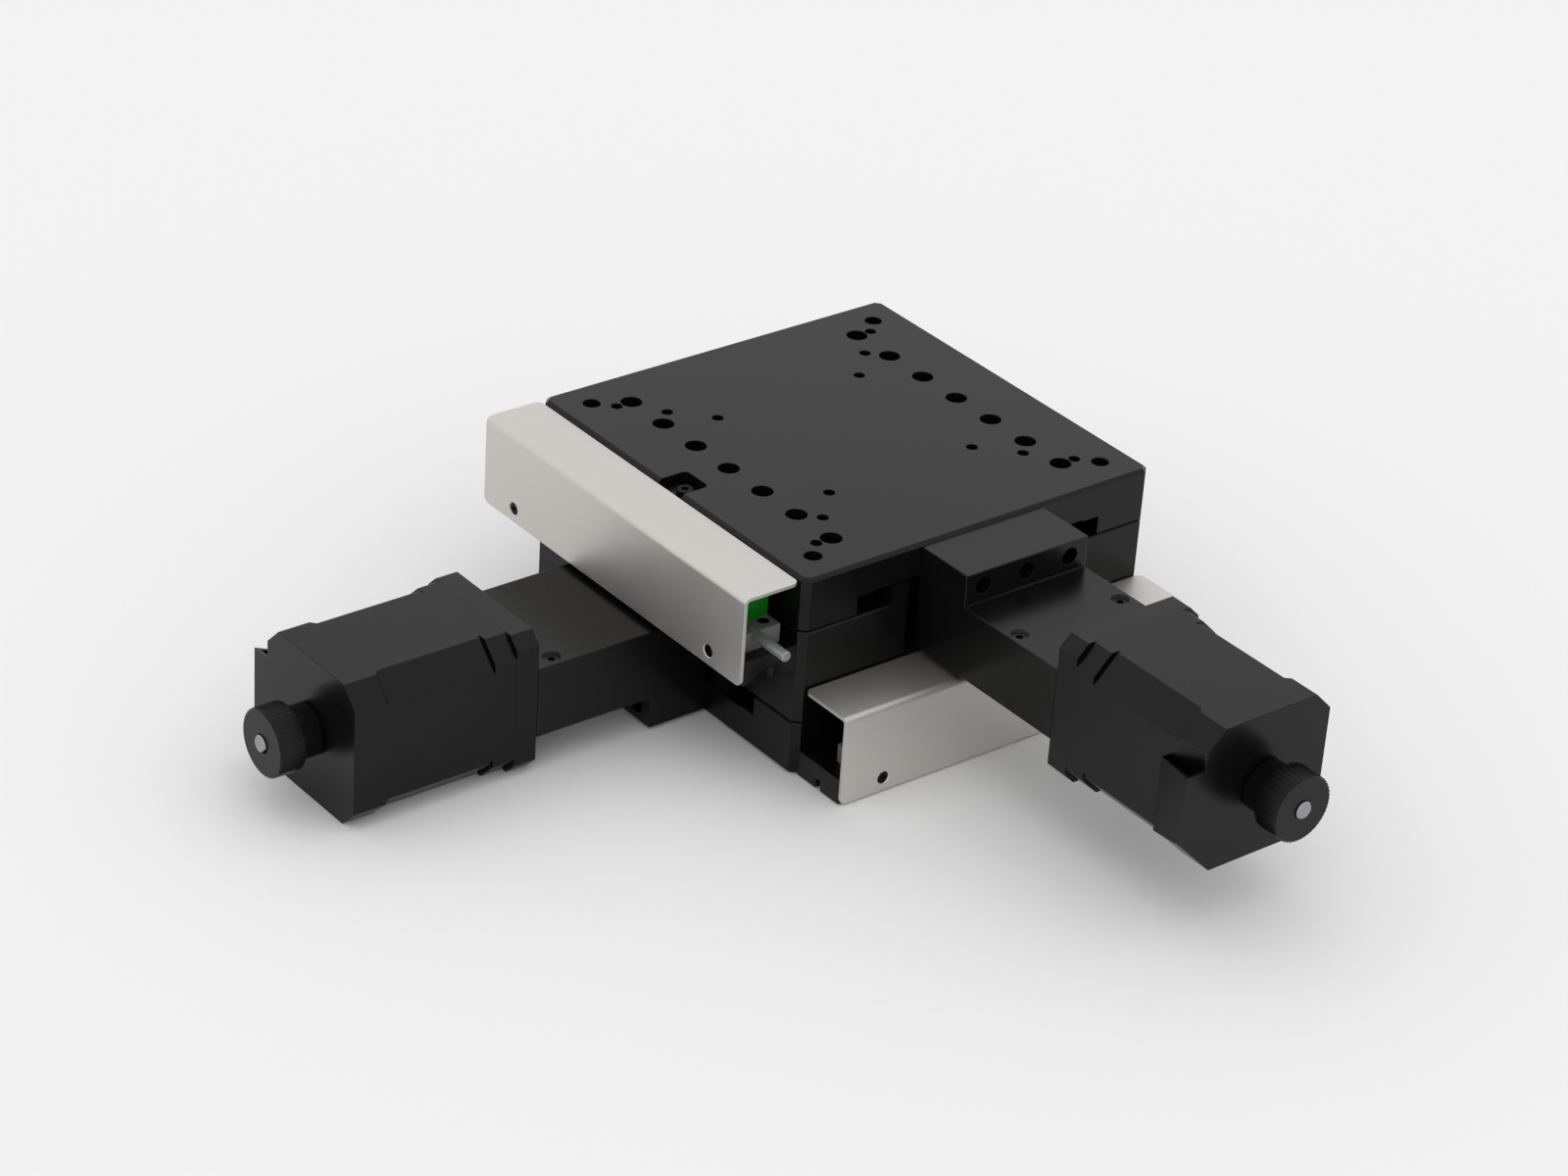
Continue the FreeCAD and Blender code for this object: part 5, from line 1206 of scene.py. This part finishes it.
class STAGE_OT_screws(bpy.types.Operator):
    """Places all the socket screws"""
    bl_idname = "xy_stage.screws"
    bl_label = "Screws"

    def execute(self, context):
        sizes = context.scene.stage_plates
        upper = []
        seat = TOP - sizes.counterbore_depth
        short = {"Shank Length": seat - RAIL_HIGH.z - SHANK_GAP}
        for side in (-1, 1):
            for y in row(sizes.rail_screw_count, sizes.rail_screw_pitch):
                upper.append((Vector((side * RAIL_SCREW_X, y, seat)), Z_DIR))
        screws(upper, "upper_rail_screws", "table", ["y_rail_screws"], M3, **short)
        turn = TURN_OVER.to_3x3()
        lower = [(TURN_OVER @ place, turn @ aim) for place, aim in upper]
        screws(lower, "lower_rail_screws", "base", ["x_rail_screws"], M3, **short)
        seat = FLANGE_FACE + FLANGE_COUNTERBORE
        bracket = [(Vector((x, seat, FLANGE_SCREW_Z)), -Y_DIR) for x in FLANGE_SCREW_X]
        bracket += [(Vector((x, y, HOUSING_TOP - HOUSING_SEAT)), Z_DIR) for x, y in HOUSING_SCREWS_TOP]
        bracket += [(Vector((x, y, BRACKET_LOW.z + HOUSING_SEAT)), -Z_DIR) for x, y in HOUSING_SCREWS_LOW]
        zinc = black_zinc_steel()
        screws(bracket, "upper_bracket_screws", "table", ["y_bracket_screws"], M25, zinc)
        seat = Vector((-HALF + FLAG_SCREW_INSET, FLAG_SCREW_Y, TOP - FLAG_POCKET_DEPTH + FLAG_SHEET))
        screws([(seat, Z_DIR)], "upper_flag_screw", "table", [], M25, oil_blackened_steel(), **LOW_HEAD)
        bracket = [(TURN_OVER @ place, turn @ aim) for place, aim in bracket]
        screws(bracket, "lower_bracket_screws", "base", ["x_bracket_screws"], M25, zinc)
        self.cover_screws(context.scene.stage_cover)
        return {"FINISHED"}

    def cover_screws(self, sizes):
        """Flat heads sunk a little below the sheet's face, with a small hexagon socket."""
        bm = bmesh.new()
        sockets = bmesh.new()
        for place in cover_screw_places():
            countersunk(bm, place + Y_DIR * COVER_HEAD_SINK, sizes.screw_head / 2 - COVER_HEAD_GAP,
                        COVER_SCREW_LENGTH)
            ring = circle(place - Y_DIR * PAST, Y_DIR, COVER_SOCKET_RADIUS, 6)
            extruded(sockets, ring, Y_DIR * (PAST + COVER_SOCKET_DEPTH))
        made = object_from(bm, "cover_screws")
        carved(made, sockets)
        upper = twin(made, TO_UPPER)
        black = black_oxide_steel()
        dress(made, "lower_cover_screws", "base", ["x_cover_screws"], black)
        dress(upper, "upper_cover_screws", "carriage", ["y_cover_screws"], black)


class STAGE_OT_inner(bpy.types.Operator):
    """Finishes the guides and the drive inside the stage"""
    bl_idname = "xy_stage.inner"
    bl_label = "Guides and drives"

    def execute(self, context):
        steel, silver, black = ground_bearing_steel(), clear_anodised_aluminium(), black_oxide_steel()
        rail_steel = black_chromed_rail_steel()
        finishes = {"block_rails": rail_steel, "drive_nuts": turned_bronze(), "block_screws": black}
        for axis in "xy":
            finishes[axis + "_outer_rails"] = rail_steel
            finishes[axis + "_roller_cages"] = rolled_brass()
            finishes[axis + "_rollers"] = steel
            finishes[axis + "_screw_bearings"] = steel
            finishes[axis + "_bearing_cap"] = black_anodised_aluminium()
            finishes[axis + "_lead_screw"] = steel
            finishes[axis + "_lock_nut"] = steel
            finishes[axis + "_coupling"] = silver
            finishes[axis + "_motor_screws"] = black
            finishes[axis + "_bar_screws"] = black
        for node, material in finishes.items():
            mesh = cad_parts[node].data
            mesh.materials.clear()
            mesh.materials.append(material)
        return {"FINISHED"}


FLOOR_HALF = 3.0
FLOOR_THICKNESS = 20 * MM
FLOOR_GAP = 0.05 * MM
KEY_HEIGHT = 1.6
KEY_SIZE = 1.6
SENSOR_WIDTH = 36.0
CLIP_END = 20.0


class STAGE_OT_studio(bpy.types.Operator):
    """Makes the camera, the floor and the lights"""
    bl_idname = "xy_stage.studio"
    bl_label = "Studio"

    def execute(self, context):
        studio = context.scene.stage_studio
        self.camera(context, studio)
        low, high = (-FLOOR_HALF, -FLOOR_HALF, -FLOOR_THICKNESS), (FLOOR_HALF, FLOOR_HALF, -FLOOR_GAP)
        floor = object_from(block(bmesh.new(), low, high), "floor")
        floor.data.materials.append(matt_paper(studio.floor))
        world = bpy.data.worlds.new("studio")
        context.scene.world = world
        world.use_nodes = True
        background = world.node_tree.nodes["Background"]
        background.inputs["Color"].default_value = (1, 1, 1, 1)
        background.inputs["Strength"].default_value = studio.world
        self.light("key", Vector((0, 0, KEY_HEIGHT)), KEY_SIZE, studio.key)
        context.scene.view_settings.view_transform = "Standard"
        return {"FINISHED"}

    def camera(self, context, studio):
        """Camera fitted to the photograph; its place is counted from the table's centre."""
        az, el, roll = studio.azimuth, studio.elevation, studio.roll
        ahead = Vector((math.cos(el) * math.cos(az), math.cos(el) * math.sin(az), -math.sin(el)))
        right = Vector((math.sin(az), -math.cos(az), 0))
        up = right.cross(ahead)
        side = right * math.cos(roll) + up * math.sin(roll)
        rise = up * math.cos(roll) - right * math.sin(roll)
        place = -ahead * studio.distance + right * studio.aim_right + up * studio.aim_up + Vector((0, 0, TOP))
        camera = bpy.data.objects.new("camera", bpy.data.cameras.new("camera"))
        context.scene.collection.objects.link(camera)
        turn = Matrix((side, rise, -ahead)).transposed()
        camera.matrix_world = Matrix.Translation(place) @ turn.to_4x4()
        camera.data.lens = studio.lens
        camera.data.sensor_width = SENSOR_WIDTH
        camera.data.clip_end = CLIP_END
        context.scene.camera = camera

    def light(self, name, place, size, power):
        """Soft square light that faces the stage."""
        lamp = bpy.data.lights.new(name, "AREA")
        lamp.size = size
        lamp.energy = power
        made = bpy.data.objects.new(name, lamp)
        made.matrix_world = Matrix.Translation(place) @ place.to_track_quat("Z", "Y").to_matrix().to_4x4()
        bpy.context.scene.collection.objects.link(made)


OPERATORS = (STAGE_OT_plates, STAGE_OT_brackets, STAGE_OT_motors, STAGE_OT_knobs, STAGE_OT_covers,
             STAGE_OT_sensors, STAGE_OT_screws, STAGE_OT_inner, STAGE_OT_studio)
GROUPS = {"stage_plates": PlateSizes, "stage_drive": DriveSizes, "stage_cover": CoverSizes,
          "stage_finishes": FinishColours, "stage_studio": StudioSettings}


class STAGE_PT_panel(bpy.types.Panel):
    """Lists the stage's operators and its settings"""
    bl_idname = "STAGE_PT_panel"
    bl_label = "XY Alignment Stage"
    bl_space_type = "VIEW_3D"
    bl_region_type = "UI"
    bl_category = "Stage"

    def draw(self, context):
        for operator in OPERATORS:
            self.layout.operator(operator.bl_idname)
        for name, group in GROUPS.items():
            part = self.layout.box()
            settings = getattr(context.scene, name)
            for prop in group.__annotations__:
                part.prop(settings, prop)


def register():
    """Registers the classes and puts the settings on the scene."""
    for cls in (*GROUPS.values(), *OPERATORS, STAGE_PT_panel):
        bpy.utils.register_class(cls)
    for name, group in GROUPS.items():
        setattr(bpy.types.Scene, name, PointerProperty(type=group))


def unregister():
    """Takes the settings and the classes away again."""
    for name in GROUPS:
        delattr(bpy.types.Scene, name)
    for cls in reversed((*GROUPS.values(), *OPERATORS, STAGE_PT_panel)):
        bpy.utils.unregister_class(cls)


def main():
    register()
    for operator in OPERATORS:
        group, name = operator.bl_idname.split(".")
        getattr(getattr(bpy.ops, group), name)()


if __name__ == "__main__":
    main()
